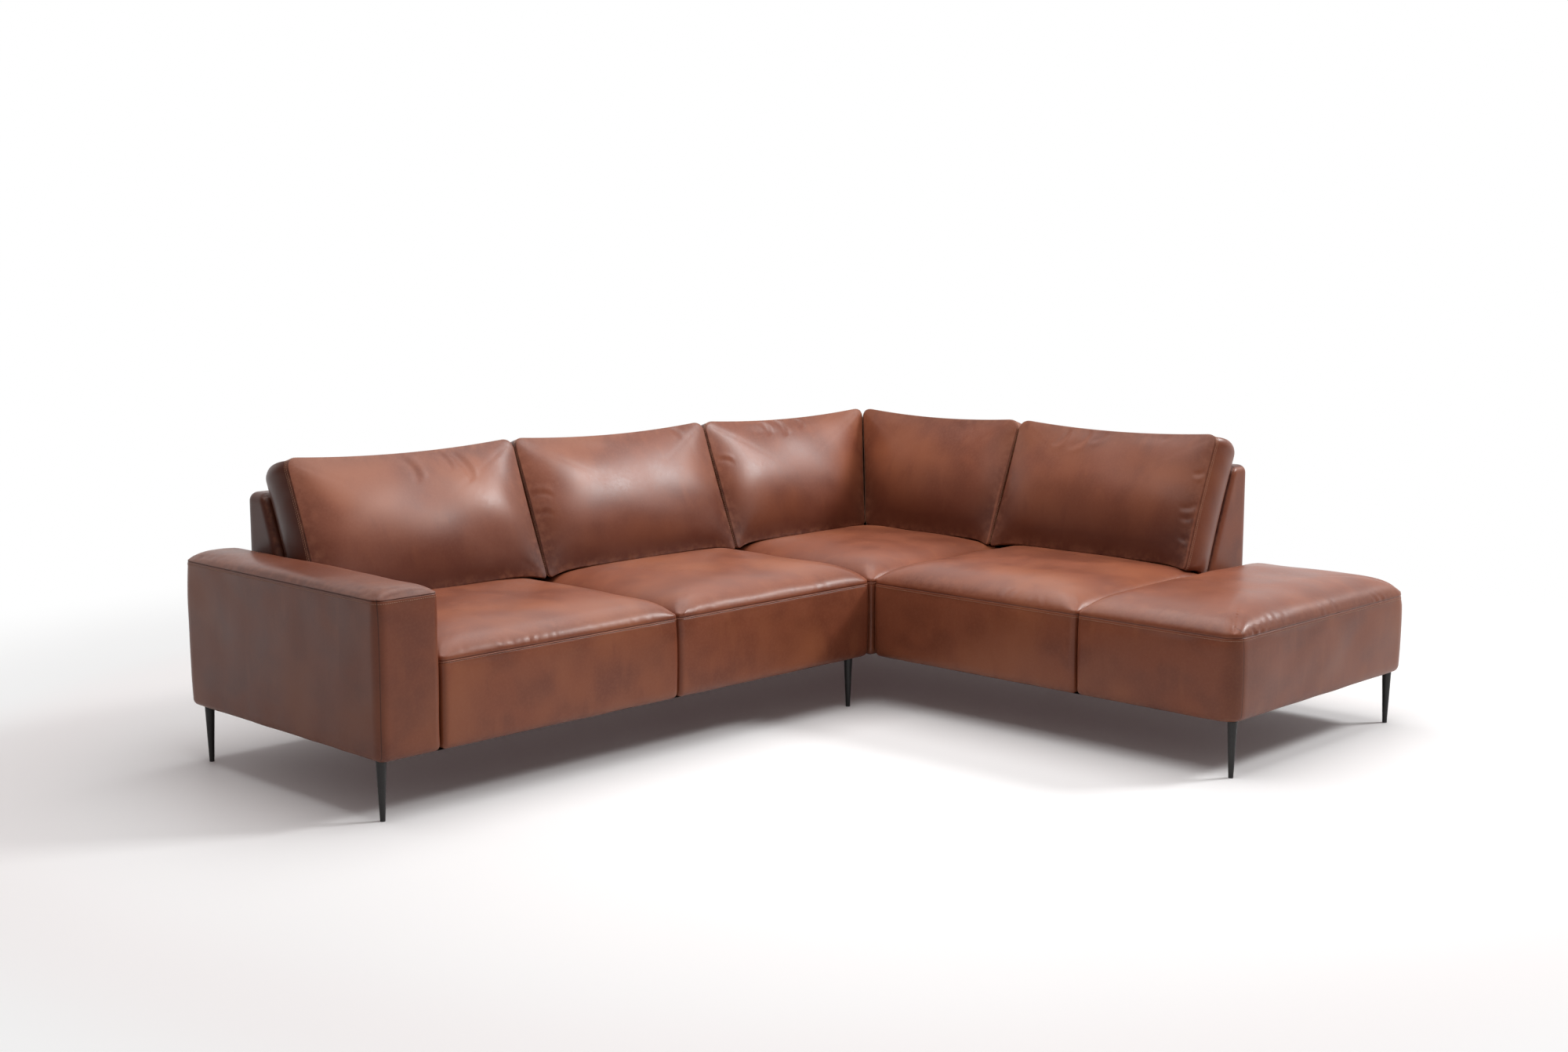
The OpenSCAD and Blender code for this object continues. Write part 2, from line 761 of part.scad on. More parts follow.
module leg_rear_left() { leg(0); }
module leg_front_left() { leg(1); }
module leg_inner_corner() { leg(2); }
module leg_rear_middle() { leg(3); }
module leg_outer_corner() { leg(4); }
module leg_right_rear() { leg(5); }
module leg_end_front() { leg(6); }
module leg_end_rear() { leg(7); }

module back_cushion_1_cover() { cushion_cover(0); }
module back_cushion_1_core() { cushion_core(0); }
module back_cushion_1_zip() { cushion_zip(0); }
module back_cushion_1_slider() { cushion_slider(0); }
module back_cushion_2_cover() { cushion_cover(1); }
module back_cushion_2_core() { cushion_core(1); }
module back_cushion_2_zip() { cushion_zip(1); }
module back_cushion_2_slider() { cushion_slider(1); }
module back_cushion_3_cover() { cushion_cover(2); }
module back_cushion_3_core() { cushion_core(2); }
module back_cushion_3_zip() { cushion_zip(2); }
module back_cushion_3_slider() { cushion_slider(2); }
module back_cushion_4_cover() { cushion_cover(3); }
module back_cushion_4_core() { cushion_core(3); }
module back_cushion_4_zip() { cushion_zip(3); }
module back_cushion_4_slider() { cushion_slider(3); }
module back_cushion_5_cover() { cushion_cover(4); }
module back_cushion_5_core() { cushion_core(4); }
module back_cushion_5_zip() { cushion_zip(4); }
module back_cushion_5_slider() { cushion_slider(4); }

arm_frame();
arm_pad();
arm_cover();
seat_1_frame();
seat_1_foam();
seat_1_cover();
seat_2_frame();
seat_2_foam();
seat_2_cover();
corner_seat_frame();
corner_seat_foam();
corner_seat_cover();
seat_3_frame();
seat_3_foam();
seat_3_cover();
end_seat_frame();
end_seat_foam();
end_seat_cover();
seat_webbing();
left_back_frame();
corner_back_frame();
right_back_frame();
back_foam();
left_back_cover();
corner_back_cover_left();
corner_back_cover_right();
right_back_cover();
base_lining();
link_plates();
link_screws();
leg_inserts();
leg_rear_left();
leg_front_left();
leg_inner_corner();
leg_rear_middle();
leg_outer_corner();
leg_right_rear();
leg_end_front();
leg_end_rear();
leg_glides();
back_cushion_1_cover();
back_cushion_1_core();
back_cushion_1_zip();
back_cushion_1_slider();
back_cushion_2_cover();
back_cushion_2_core();
back_cushion_2_zip();
back_cushion_2_slider();
back_cushion_3_cover();
back_cushion_3_core();
back_cushion_3_zip();
back_cushion_3_slider();
back_cushion_4_cover();
back_cushion_4_core();
back_cushion_4_zip();
back_cushion_4_slider();
back_cushion_5_cover();
back_cushion_5_core();
back_cushion_5_zip();
back_cushion_5_slider();
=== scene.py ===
"""Corner sofa in leather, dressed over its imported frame.

The covers of the arm, the seats, the backrests and the loose back cushions are modelled here as
padded pieces with their seams and stitching. Legs, linings, straps, frames and zips keep their
solids and get their own finishes. All lengths are in metres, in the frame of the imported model.
"""

from __future__ import annotations

import json
import logging
import math
from dataclasses import dataclass, field
from enum import Enum
from functools import cached_property

import bpy
import numpy as np
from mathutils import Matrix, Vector

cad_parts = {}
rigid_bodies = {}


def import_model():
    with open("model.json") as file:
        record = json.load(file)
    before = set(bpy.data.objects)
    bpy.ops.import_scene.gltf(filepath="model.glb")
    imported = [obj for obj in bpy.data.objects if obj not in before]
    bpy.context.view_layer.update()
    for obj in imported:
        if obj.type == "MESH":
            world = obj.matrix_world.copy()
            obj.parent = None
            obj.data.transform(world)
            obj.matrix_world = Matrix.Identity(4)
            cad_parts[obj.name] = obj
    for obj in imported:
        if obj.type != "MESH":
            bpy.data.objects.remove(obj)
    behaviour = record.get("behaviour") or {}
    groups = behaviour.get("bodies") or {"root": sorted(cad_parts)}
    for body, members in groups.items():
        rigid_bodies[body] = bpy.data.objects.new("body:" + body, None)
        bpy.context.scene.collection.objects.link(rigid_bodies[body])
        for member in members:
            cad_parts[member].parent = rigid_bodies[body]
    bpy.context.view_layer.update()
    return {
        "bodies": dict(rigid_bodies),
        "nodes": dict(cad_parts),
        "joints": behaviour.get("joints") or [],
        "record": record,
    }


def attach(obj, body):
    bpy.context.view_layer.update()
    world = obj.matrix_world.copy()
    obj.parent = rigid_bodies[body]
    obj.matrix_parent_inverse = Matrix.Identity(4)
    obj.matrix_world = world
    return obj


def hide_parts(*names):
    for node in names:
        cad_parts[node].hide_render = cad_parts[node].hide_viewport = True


LOG = logging.getLogger("corner_sofa")
MM = 0.001
#: For each end of a piece, its place along the wing and its change with depth.
Ends = tuple[tuple[float, float], tuple[float, float]]
#: Linear red, green and blue, and 1.
Colour = tuple[float, float, float, float]


@dataclass(frozen=True)
class SofaPlan:
    """Main measures of the sofa, as in the part's source."""

    arm_width: float = 0.195
    left_seat: float = 0.848
    right_seat: float = 0.807
    end_seat: float = 0.540
    left_depth: float = 0.965
    right_depth: float = 1.005
    base: float = 0.165
    seam: float = 0.405
    crown: float = 0.079
    gap: float = 0.004
    arm_seam: float = 0.589
    arm_crown: float = 0.028
    lean: float = math.radians(21.5)
    back_top: float = 0.771
    back_top_thick: float = 0.092
    knee: float = 0.398
    back_edge: float = 0.027
    back_inset_left: float = 0.012
    back_inset_right: float = 0.037
    corner_round: float = 0.038
    cushion_height: float = 0.444
    cushion_thick: float = 0.126
    front_bulge: float = 0.027
    rear_bulge: float = 0.009
    top_dip: float = 0.018
    side_dip: float = 0.004
    cushion_top_round: float = 0.036
    cushion_foot_round: float = 0.018
    cushion_gap: float = 0.006
    arm_to_cushion: float = 0.028
    joint_shift: float = 0.020
    cushion_shift: float = 0.027
    cushion_nest: float = 0.013
    touch_gap: float = 0.0005
    mitre_gap: float = 0.0015
    zip_length: float = 0.420
    zip_width: float = 0.016
    zip_depth: float = 0.0102

    @property
    def corner_x(self) -> float:
        """Place along X of the joint beside the corner seat."""
        return self.arm_width + 2 * self.left_seat

    @property
    def total_x(self) -> float:
        """Whole width along X."""
        return self.corner_x + self.right_depth

    @property
    def right_reach(self) -> float:
        """Length of the right wing in front of the left one."""
        return self.right_seat + self.end_seat

    @property
    def back_base_thick(self) -> float:
        """Thickness of a backrest below its knee."""
        return self.back_top_thick + (self.back_top - self.knee) * math.tan(self.lean)

    @property
    def cushion_z(self) -> float:
        """Height of a back cushion's front bottom seam."""
        return self.seam + self.crown - self.cushion_nest

    @property
    def cushion_reach(self) -> float:
        """Distance of that seam from the rear of its wing."""
        slant = (self.cushion_thick + self.rear_bulge + self.touch_gap) / math.cos(self.lean)
        return slant + (self.back_top - self.cushion_z) * math.tan(self.lean) + self.back_top_thick

    @property
    def mitre_x(self) -> float:
        """Place along X where the mitre of the corner meets the front of the left wing."""
        return self.corner_x + self.right_depth - self.left_depth

    @property
    def left_cushion_y(self) -> float:
        """Distance of the left wing's back cushions from its front."""
        return self.left_depth - self.cushion_reach

    @property
    def right_cushion_y(self) -> float:
        """Distance of the right wing's back cushions from its front."""
        return self.right_depth - self.cushion_reach


PLAN = SofaPlan()


class Wing(Enum):
    """The two wings, each with its own X along it and Y from its front to its rear."""

    LEFT = "left"
    RIGHT = "right"

    def place(self, points: np.ndarray) -> np.ndarray:
        """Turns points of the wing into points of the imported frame.

        Args:
            points: One row of x, y, z for each point.

        Returns:
            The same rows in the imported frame.
        """
        x, y, z = points.T
        if self is Wing.RIGHT:
            x, y = PLAN.corner_x + y, -x
        return np.stack([x - PLAN.total_x / 2, y + (PLAN.right_reach - PLAN.left_depth) / 2, z], 1)


class Bench:
    """Blender's modelling operators, used on one piece at a time."""

    @staticmethod
    def clear() -> None:
        """Deselects everything."""
        if bpy.context.object and bpy.context.object.mode != "OBJECT":
            bpy.ops.object.mode_set(mode="OBJECT")
        bpy.ops.object.select_all(action="DESELECT")

    @staticmethod
    def take(piece: bpy.types.Object) -> None:
        """Makes a piece the only one selected and the active one.

        Args:
            piece: The piece.
        """
        Bench.clear()
        piece.select_set(True)
        bpy.context.view_layer.objects.active = piece

    @staticmethod
    def block(name: str, across: tuple[int, int], rows: int) -> bpy.types.Object:
        """Makes a closed block of quads, one unit each way.

        Args:
            name: Name of the new piece.
            across: Faces along X and along Y of the grids at its bottom and top.
            rows: Rows of faces up its sides.

        Returns:
            The block, with its low corner at the origin.
        """
        Bench.clear()
        bpy.ops.mesh.primitive_grid_add(
            x_subdivisions=across[0], y_subdivisions=across[1], size=1, location=(0.5, 0.5, 0)
        )
        piece = bpy.context.object
        piece.name = name
        bpy.ops.object.transform_apply(location=True, rotation=True, scale=True)
        bpy.ops.object.mode_set(mode="EDIT")
        bpy.ops.mesh.select_mode(type="EDGE")
        bpy.ops.mesh.select_all(action="SELECT")
        bpy.ops.mesh.duplicate_move(TRANSFORM_OT_translate={"value": (0, 0, 1)})
        bpy.ops.mesh.select_all(action="DESELECT")
        bpy.ops.mesh.select_non_manifold(
            extend=False, use_wire=False, use_boundary=True, use_multi_face=False,
            use_non_contiguous=False, use_verts=False,
        )
        bpy.ops.mesh.bridge_edge_loops(number_cuts=rows - 1, interpolation="LINEAR")
        bpy.ops.mesh.select_all(action="SELECT")
        bpy.ops.mesh.normals_make_consistent(inside=False)
        bpy.ops.object.mode_set(mode="OBJECT")
        return piece

    @staticmethod
    def read(piece: bpy.types.Object, key: str) -> np.ndarray:
        """Reads three numbers of each of a piece's vertices.

        Args:
            piece: The piece.
            key: What to read, as its vertices call it.

        Returns:
            One row for each vertex.
        """
        flat = np.empty(len(piece.data.vertices) * 3)
        piece.data.vertices.foreach_get(key, flat)
        return flat.reshape(-1, 3)

    @staticmethod
    def points(piece: bpy.types.Object) -> np.ndarray:
        """Reads where a piece's vertices are."""
        return Bench.read(piece, "co")

    @staticmethod
    def normals(piece: bpy.types.Object) -> np.ndarray:
        """Works out the normals of a piece's vertices."""
        piece.data.update()
        return Bench.read(piece, "normal")

    @staticmethod
    def move(piece: bpy.types.Object, points: np.ndarray) -> None:
        """Puts a piece's vertices at new places."""
        piece.data.vertices.foreach_set("co", np.ascontiguousarray(points, dtype=float).ravel())
        piece.data.update()

    @staticmethod
    def smooth(piece: bpy.types.Object, angle: float = 60.0) -> None:
        """Shades a piece smooth, apart from edges sharper than an angle in degrees."""
        Bench.take(piece)
        bpy.ops.object.shade_smooth_by_angle(angle=math.radians(angle))

    @staticmethod
    def apply(piece: bpy.types.Object, modifier: bpy.types.Modifier) -> None:
        """Applies a modifier to its piece."""
        Bench.take(piece)
        bpy.ops.object.modifier_apply(modifier=modifier.name)

    @staticmethod
    def mark(piece: bpy.types.Object, **marks: np.ndarray) -> None:
        """Keeps numbers for each vertex as attributes that a finish can read.

        Args:
            piece: The piece.
            **marks: One number for each vertex under each attribute's name.
        """
        for name, values in marks.items():
            layer = piece.data.attributes.new(name, "FLOAT", "POINT")
            layer.data.foreach_set("value", np.ascontiguousarray(values, dtype=np.float32))

    @staticmethod
    def divide(piece: bpy.types.Object, rows: np.ndarray) -> np.ndarray:
        """Splits each face of a piece in four and rounds it.

        Args:
            piece: The piece.
            rows: Three numbers for each vertex, carried over to the new vertices.

        Returns:
            Three numbers for each vertex of the finer piece.
        """
        layer = piece.data.attributes.new("carried", "FLOAT_VECTOR", "POINT")
        layer.data.foreach_set("vector", np.ascontiguousarray(rows, dtype=np.float32).ravel())
        finer = piece.modifiers.new("finer", "SUBSURF")
        finer.levels = 1
        Bench.apply(piece, finer)
        layer = piece.data.attributes["carried"]
        flat = np.empty(len(piece.data.vertices) * 3, dtype=np.float32)
        layer.data.foreach_get("vector", flat)
        piece.data.attributes.remove(layer)
        return flat.reshape(-1, 3).astype(float)

    @staticmethod
    def cut(piece: bpy.types.Object, low: Vector, high: Vector) -> None:
        """Cuts a box with rounded ends out of a piece.

        Args:
            piece: The piece to cut.
            low: Low corner of the box.
            high: High corner of the box.
        """
        Bench.clear()
        bpy.ops.mesh.primitive_cube_add(size=1, location=(low + high) / 2, scale=high - low)
        cutter = bpy.context.object
        bpy.ops.object.transform_apply(location=True, rotation=True, scale=True)
        bpy.ops.object.mode_set(mode="EDIT")
        bpy.ops.mesh.select_all(action="SELECT")
        bpy.ops.mesh.bevel(offset=1.5 * MM, segments=3)
        bpy.ops.object.mode_set(mode="OBJECT")
        cut = piece.modifiers.new("zip_slot", "BOOLEAN")
        cut.operation = "DIFFERENCE"
        cut.solver = "EXACT"
        cut.object = cutter
        Bench.apply(piece, cut)
        bpy.data.objects.remove(cutter)


def bell(offset: np.ndarray, width: float) -> np.ndarray:
    """A bell curve, 1 where the offset is 0 and near 0 from two widths on."""
    return np.exp(-((offset / width) ** 2))


def ends_at(ends: Ends, depth: np.ndarray | float) -> tuple[np.ndarray | float, np.ndarray | float]:
    """Where the two ends of a piece are at a depth."""
    (low, low_change), (high, high_change) = ends
    return low + low_change * depth, high + high_change * depth


def crown_share(share: np.ndarray, power: float) -> np.ndarray:
    """Share of a crown's height, from 1 in the middle to 0 at its seam."""
    return np.sqrt(np.clip(1 - np.abs(share) ** power, 0, 1))


def even_shares(
    steps: np.ndarray, half: np.ndarray, rise: float, powers: np.ndarray, last: np.ndarray
) -> np.ndarray:
    """Spaces grid lines evenly along a panel's two crowned profiles.

    Args:
        steps: Even steps from -1 to 1 along X and along Y, one row each.
        half: Half of the panel's two sides.
        rise: Height of its crown.
        powers: Powers of the crown along X and along Y.
        last: Shares of the half sides at which the grid ends.

    Returns:
        Shares of the half sides for each step, from -last to last.
    """
    shares = []
    for k in range(2):
        share = np.sin(np.linspace(0, 1, 600) * math.pi / 2) * last[k]
        run = np.hypot(np.diff(share * half[k]), np.diff(rise * crown_share(share, powers[k])))
        length = np.concatenate([[0], np.cumsum(run)])
        shares.append(np.sign(steps[:, k]) * np.interp(np.abs(steps[:, k]) * length[-1], length, share))
    return np.stack(shares, 1)


def rounded_plan(
    uv: np.ndarray, half: np.ndarray, radii: tuple[float, ...], inset: np.ndarray
) -> tuple[np.ndarray, np.ndarray]:
    """Fits a square grid into a rectangle with rounded corners.

    Args:
        uv: Points of the square from -1 to 1, one row each.
        half: Half of the rectangle's two sides.
        radii: Corner radii from the low corner, anticlockwise.
        inset: How far each point's ring is drawn in from the rectangle.

    Returns:
        The points round the rectangle's middle, and the outward direction of each point's place
        on the edge.
    """
    share = np.abs(uv).max(1)
    edge = uv / np.where(share > 1e-9, share, 1)[:, None]
    corner = np.where(edge[:, 1] < 0, np.where(edge[:, 0] < 0, 0, 1), np.where(edge[:, 0] < 0, 3, 2))
    radius = np.maximum(np.asarray(radii)[corner] - inset, 3 * MM)[:, None]
    size = half[None, :] - inset[:, None]
    place = edge * size
    inner = np.clip(place, radius - size, size - radius)
    out = place - inner
    out /= np.maximum(np.linalg.norm(out, axis=1), 1e-9)[:, None]
    return (inner + out * radius) * share[:, None], out


def along_edge(uv: np.ndarray, half: np.ndarray) -> np.ndarray:
    """Measures how far round a rectangle each grid point's direction meets its edge.

    Args:
        uv: Points of the grid from -1 to 1, one row each.
        half: Half of the rectangle's two sides.

    Returns:
        The length from the low corner, anticlockwise.
    """
    edge = uv / np.maximum(np.abs(uv).max(1), 1e-9)[:, None]
    x, y = edge[:, 0] * half[0], edge[:, 1] * half[1]
    a, b = half
    on_front = edge[:, 1] <= -1 + 1e-6
    on_right = edge[:, 0] >= 1 - 1e-6
    on_rear = edge[:, 1] >= 1 - 1e-6
    return np.where(
        on_front, x + a,
        np.where(on_right, 2 * a + y + b, np.where(on_rear, 3 * a + 2 * b - x, 4 * a + 3 * b - y)),
    )


def ripple(place: np.ndarray, seed: int, waves: tuple[float, float], count: int = 14) -> np.ndarray:
    """Smooth noise along a line, about -1 to 1, the same on each run.

    Args:
        place: Lengths along the line.
        seed: Picks the noise.
        waves: Shortest and longest wave.
        count: Number of waves.

    Returns:
        The noise at each place.
    """
    pick = np.random.RandomState(seed)
    total = np.zeros_like(place)
    for length in pick.uniform(waves[0], waves[1], count):
        total += np.cos(2 * math.pi * place / length + pick.uniform(0, 2 * math.pi))
    return total / math.sqrt(count)


def swell(points: np.ndarray, seed: int, wave: float, count: int = 10) -> np.ndarray:
    """Smooth noise in space, about -1 to 1, the same on each run.

    Args:
        points: Points in space, one row each.
        seed: Picks the noise.
        wave: Middling length of a wave.
        count: Number of waves.

    Returns:
        The noise at each point.
    """
    pick = np.random.RandomState(seed)
    total = np.zeros(len(points))
    for _ in range(count):
        way = pick.normal(size=3)
        way /= np.linalg.norm(way)
        total += np.cos(2 * math.pi * (points @ way) / (wave * pick.uniform(0.7, 1.5)) + pick.uniform(0, 6.3))
    return total / math.sqrt(count)


@dataclass(frozen=True)
class Fold:
    """A soft crease pressed into a padded panel.

    Attributes:
        start: Where it starts, as shares of the panel from -1 to 1.
        end: Where it ends.
        width: Half width of its hollow.
        depth: Depth of its hollow.
    """

    start: tuple[float, float]
    end: tuple[float, float]
    width: float
    depth: float

    #: How far it bows, as a share of its length, and the height and place of the ridge beside its hollow.
    BOW, RIDGE, RIDGE_PLACE = 0.12, 0.65, 1.9

    def height(self, uv: np.ndarray, half: np.ndarray) -> np.ndarray:
        """Works out the hollow and its ridge.

        Args:
            uv: Points of the panel from -1 to 1, one row each.
            half: Half of the panel's two sides.

        Returns:
            The fold's height at each point, below 0 in the hollow.
        """
        a = np.asarray(self.start) * half
        way = np.asarray(self.end) * half - a
        length = np.linalg.norm(way)
        way = way / length
        side = np.array([-way[1], way[0]])
        offset = uv * half - a
        run = offset @ way / length
        arch = np.sin(np.clip(run, 0, 1) * math.pi)
        across = (offset @ side - self.BOW * length * arch) / self.width
        taper = np.clip(arch, 0, 1) ** 0.7 * ((run > 0) & (run < 1))
        return -self.depth * taper * (bell(across, 1) - self.RIDGE * bell(across - self.RIDGE_PLACE, 1))


def creases(*rows: tuple[float, float, float, float, float, float]) -> tuple[Fold, ...]:
    """Makes folds out of rows of start, end, width and depth."""
    return tuple(Fold(row[:2], row[2:4], *row[4:]) for row in rows)


@dataclass(frozen=True)
class Stuffing:
    """Puffs a padded piece up by simulating its cover as cloth with air inside.

    Attributes:
        pressure: Pressure inside the cover.
        growth: How much larger the leather is cut than the space it fills.
        reach: The most that a point may move.
        frames: Frames that the simulation runs.
    """

    pressure: float = 3.5
    growth: float = 0.0005
    reach: float = 0.006
    frames: int = 20

    #: How the leather behaves as cloth.
    LEATHER = {
        "quality": 6, "mass": 0.35, "air_damping": 2.0, "tension_stiffness": 18,
        "compression_stiffness": 12, "shear_stiffness": 8, "bending_stiffness": 1.2,
        "tension_damping": 12, "compression_damping": 12, "shear_damping": 12,
        "bending_damping": 1.0, "use_pressure": True, "pin_stiffness": 1.0,
    }

    def puff(self, piece: bpy.types.Object, held: np.ndarray) -> None:
        """Simulates the cover and keeps its puffed shape.

        Args:
            piece: The cover.
            held: Whether each vertex is held in its place.
        """
        before = Bench.points(piece)
        hold = piece.vertex_groups.new(name="held")
        hold.add(np.nonzero(held)[0].tolist(), 1.0, "REPLACE")
        cloth = piece.modifiers.new("stuffing", "CLOTH")
        for key, value in self.LEATHER.items():
            setattr(cloth.settings, key, value)
        cloth.settings.uniform_pressure_force = self.pressure
        cloth.settings.vertex_group_mass = hold.name
        cloth.settings.shrink_min = -self.growth
        cloth.settings.effector_weights.gravity = 0
        cloth.collision_settings.use_collision = False
        cloth.collision_settings.use_self_collision = False
        cloth.point_cache.frame_start = 1
        cloth.point_cache.frame_end = self.frames
        scene = bpy.context.scene
        scene.gravity = (0, 0, 0)
        for frame in range(1, self.frames + 1):
            scene.frame_set(frame)
        Bench.apply(piece, cloth)
        scene.frame_set(1)
        piece.vertex_groups.clear()
        moved = Bench.points(piece) - before
        far = np.linalg.norm(moved, axis=1)
        scale = self.reach * np.tanh(far / self.reach) / np.maximum(far, 1e-9)
        Bench.move(piece, before + moved * scale[:, None])


@dataclass(frozen=True)
class Stitching:
    """Rows of thread that show on a cover.

    Attributes:
        name: Name of the piece.
        pitch: Length from one stitch to the next.
        length: Length of a stitch.
        thick: Thickness of the thread.
    """

    name: str
    pitch: float = 0.0068
    length: float = 0.0050
    thick: float = 0.0013

    #: Where a stitch starts to narrow, the thickness of its ends, how far they sink, and how far the
    #: whole stitch stands out, as shares of its length and thickness.
    NARROW, TIP, SINK, LIFT = 0.28, 0.45, 0.28, 0.12

    def stitch(self) -> tuple[np.ndarray, list[tuple[int, ...]]]:
        """Models one stitch.

        Returns:
            Its points, lengthwise along X, and its faces.
        """
        Bench.clear()
        bpy.ops.mesh.primitive_cylinder_add(
            vertices=6, radius=0.5, depth=1, end_fill_type="NGON", rotation=(0, math.pi / 2, 0)
        )
        one = bpy.context.object
        bpy.ops.object.transform_apply(location=True, rotation=True, scale=True)
        bpy.ops.object.mode_set(mode="EDIT")
        for place in (self.NARROW, -self.NARROW):
            bpy.ops.mesh.select_all(action="SELECT")
            bpy.ops.mesh.bisect(plane_co=(place, 0, 0), plane_no=(1, 0, 0))
        bpy.ops.object.mode_set(mode="OBJECT")
        points = Bench.points(one)
        ends = np.abs(points[:, 0]) > 0.4
        points[ends, 1:] *= self.TIP
        points[ends, 2] -= self.SINK
        faces = [tuple(face.vertices) for face in one.data.polygons]
        bpy.data.objects.remove(one)
        return points, faces

    @staticmethod
    def between(places: np.ndarray, length: np.ndarray, rows: np.ndarray) -> np.ndarray:
        """Interpolates rows of three numbers, which stand at lengths along a path, at other places."""
        return np.stack([np.interp(places, length, rows[:, k]) for k in range(3)], 1)

    def sew(self, rows: list[tuple[np.ndarray, np.ndarray]]) -> bpy.types.Object:
        """Lays stitches along rows.

        Args:
            rows: For each row, its points in order and the outward direction at each.

        Returns:
            One piece with all the stitches.
        """
        one, faces = self.stitch()
        one = one * np.array([self.length, self.thick, self.thick])
        points, all_faces = [], []
        for path, normals in rows:
            run = np.linalg.norm(np.diff(path, axis=0), axis=1)
            length = np.concatenate([[0], np.cumsum(run)])
            count = max(2, int(length[-1] / self.pitch))
            places = (np.arange(count) + 0.5) * length[-1] / count
            middle = self.between(places, length, path)
            ahead = self.between(places + self.length / 2, length, path)
            along = ahead - self.between(places - self.length / 2, length, path)
            along /= np.linalg.norm(along, axis=1)[:, None]
            out = self.between(places, length, normals)
            out -= along * (out * along).sum(1)[:, None]
            out /= np.linalg.norm(out, axis=1)[:, None]
            for here, x, y, z in zip(middle, along, np.cross(out, along), out):
                base = len(points) * len(one)
                lifted = here + z * self.thick * self.LIFT
                points.append(lifted + one[:, :1] * x + one[:, 1:2] * y + one[:, 2:] * z)
                all_faces.extend([tuple(base + v for v in face) for face in faces])
        mesh = bpy.data.meshes.new(self.name)
        mesh.from_pydata(np.concatenate(points).tolist(), [], all_faces)
        piece = bpy.data.objects.new(self.name, mesh)
        bpy.context.scene.collection.objects.link(piece)
        Bench.smooth(piece, 80)
        return piece


@dataclass(frozen=True)
class Link:
    """An output of a shader node that Python's operators work on.

    Attributes:
        board: The board that it is on.
        socket: The output, if the node has any.
    """

    board: Board
    socket: bpy.types.NodeSocket | None

    def __add__(self, other: Link | float) -> Link:
        """Sum."""
        return self.board.math("ADD", self, other)

    def __radd__(self, other: float) -> Link:
        """Sum, the other way round."""
        return self.board.math("ADD", other, self)

    def __sub__(self, other: Link | float) -> Link:
        """Difference."""
        return self.board.math("SUBTRACT", self, other)

    def __rsub__(self, other: float) -> Link:
        """Difference, the other way round."""
        return self.board.math("SUBTRACT", other, self)

    def __mul__(self, other: Link | float) -> Link:
        """Product."""
        return self.board.math("MULTIPLY", self, other)

    def __rmul__(self, other: float) -> Link:
        """Product, the other way round."""
        return self.board.math("MULTIPLY", other, self)


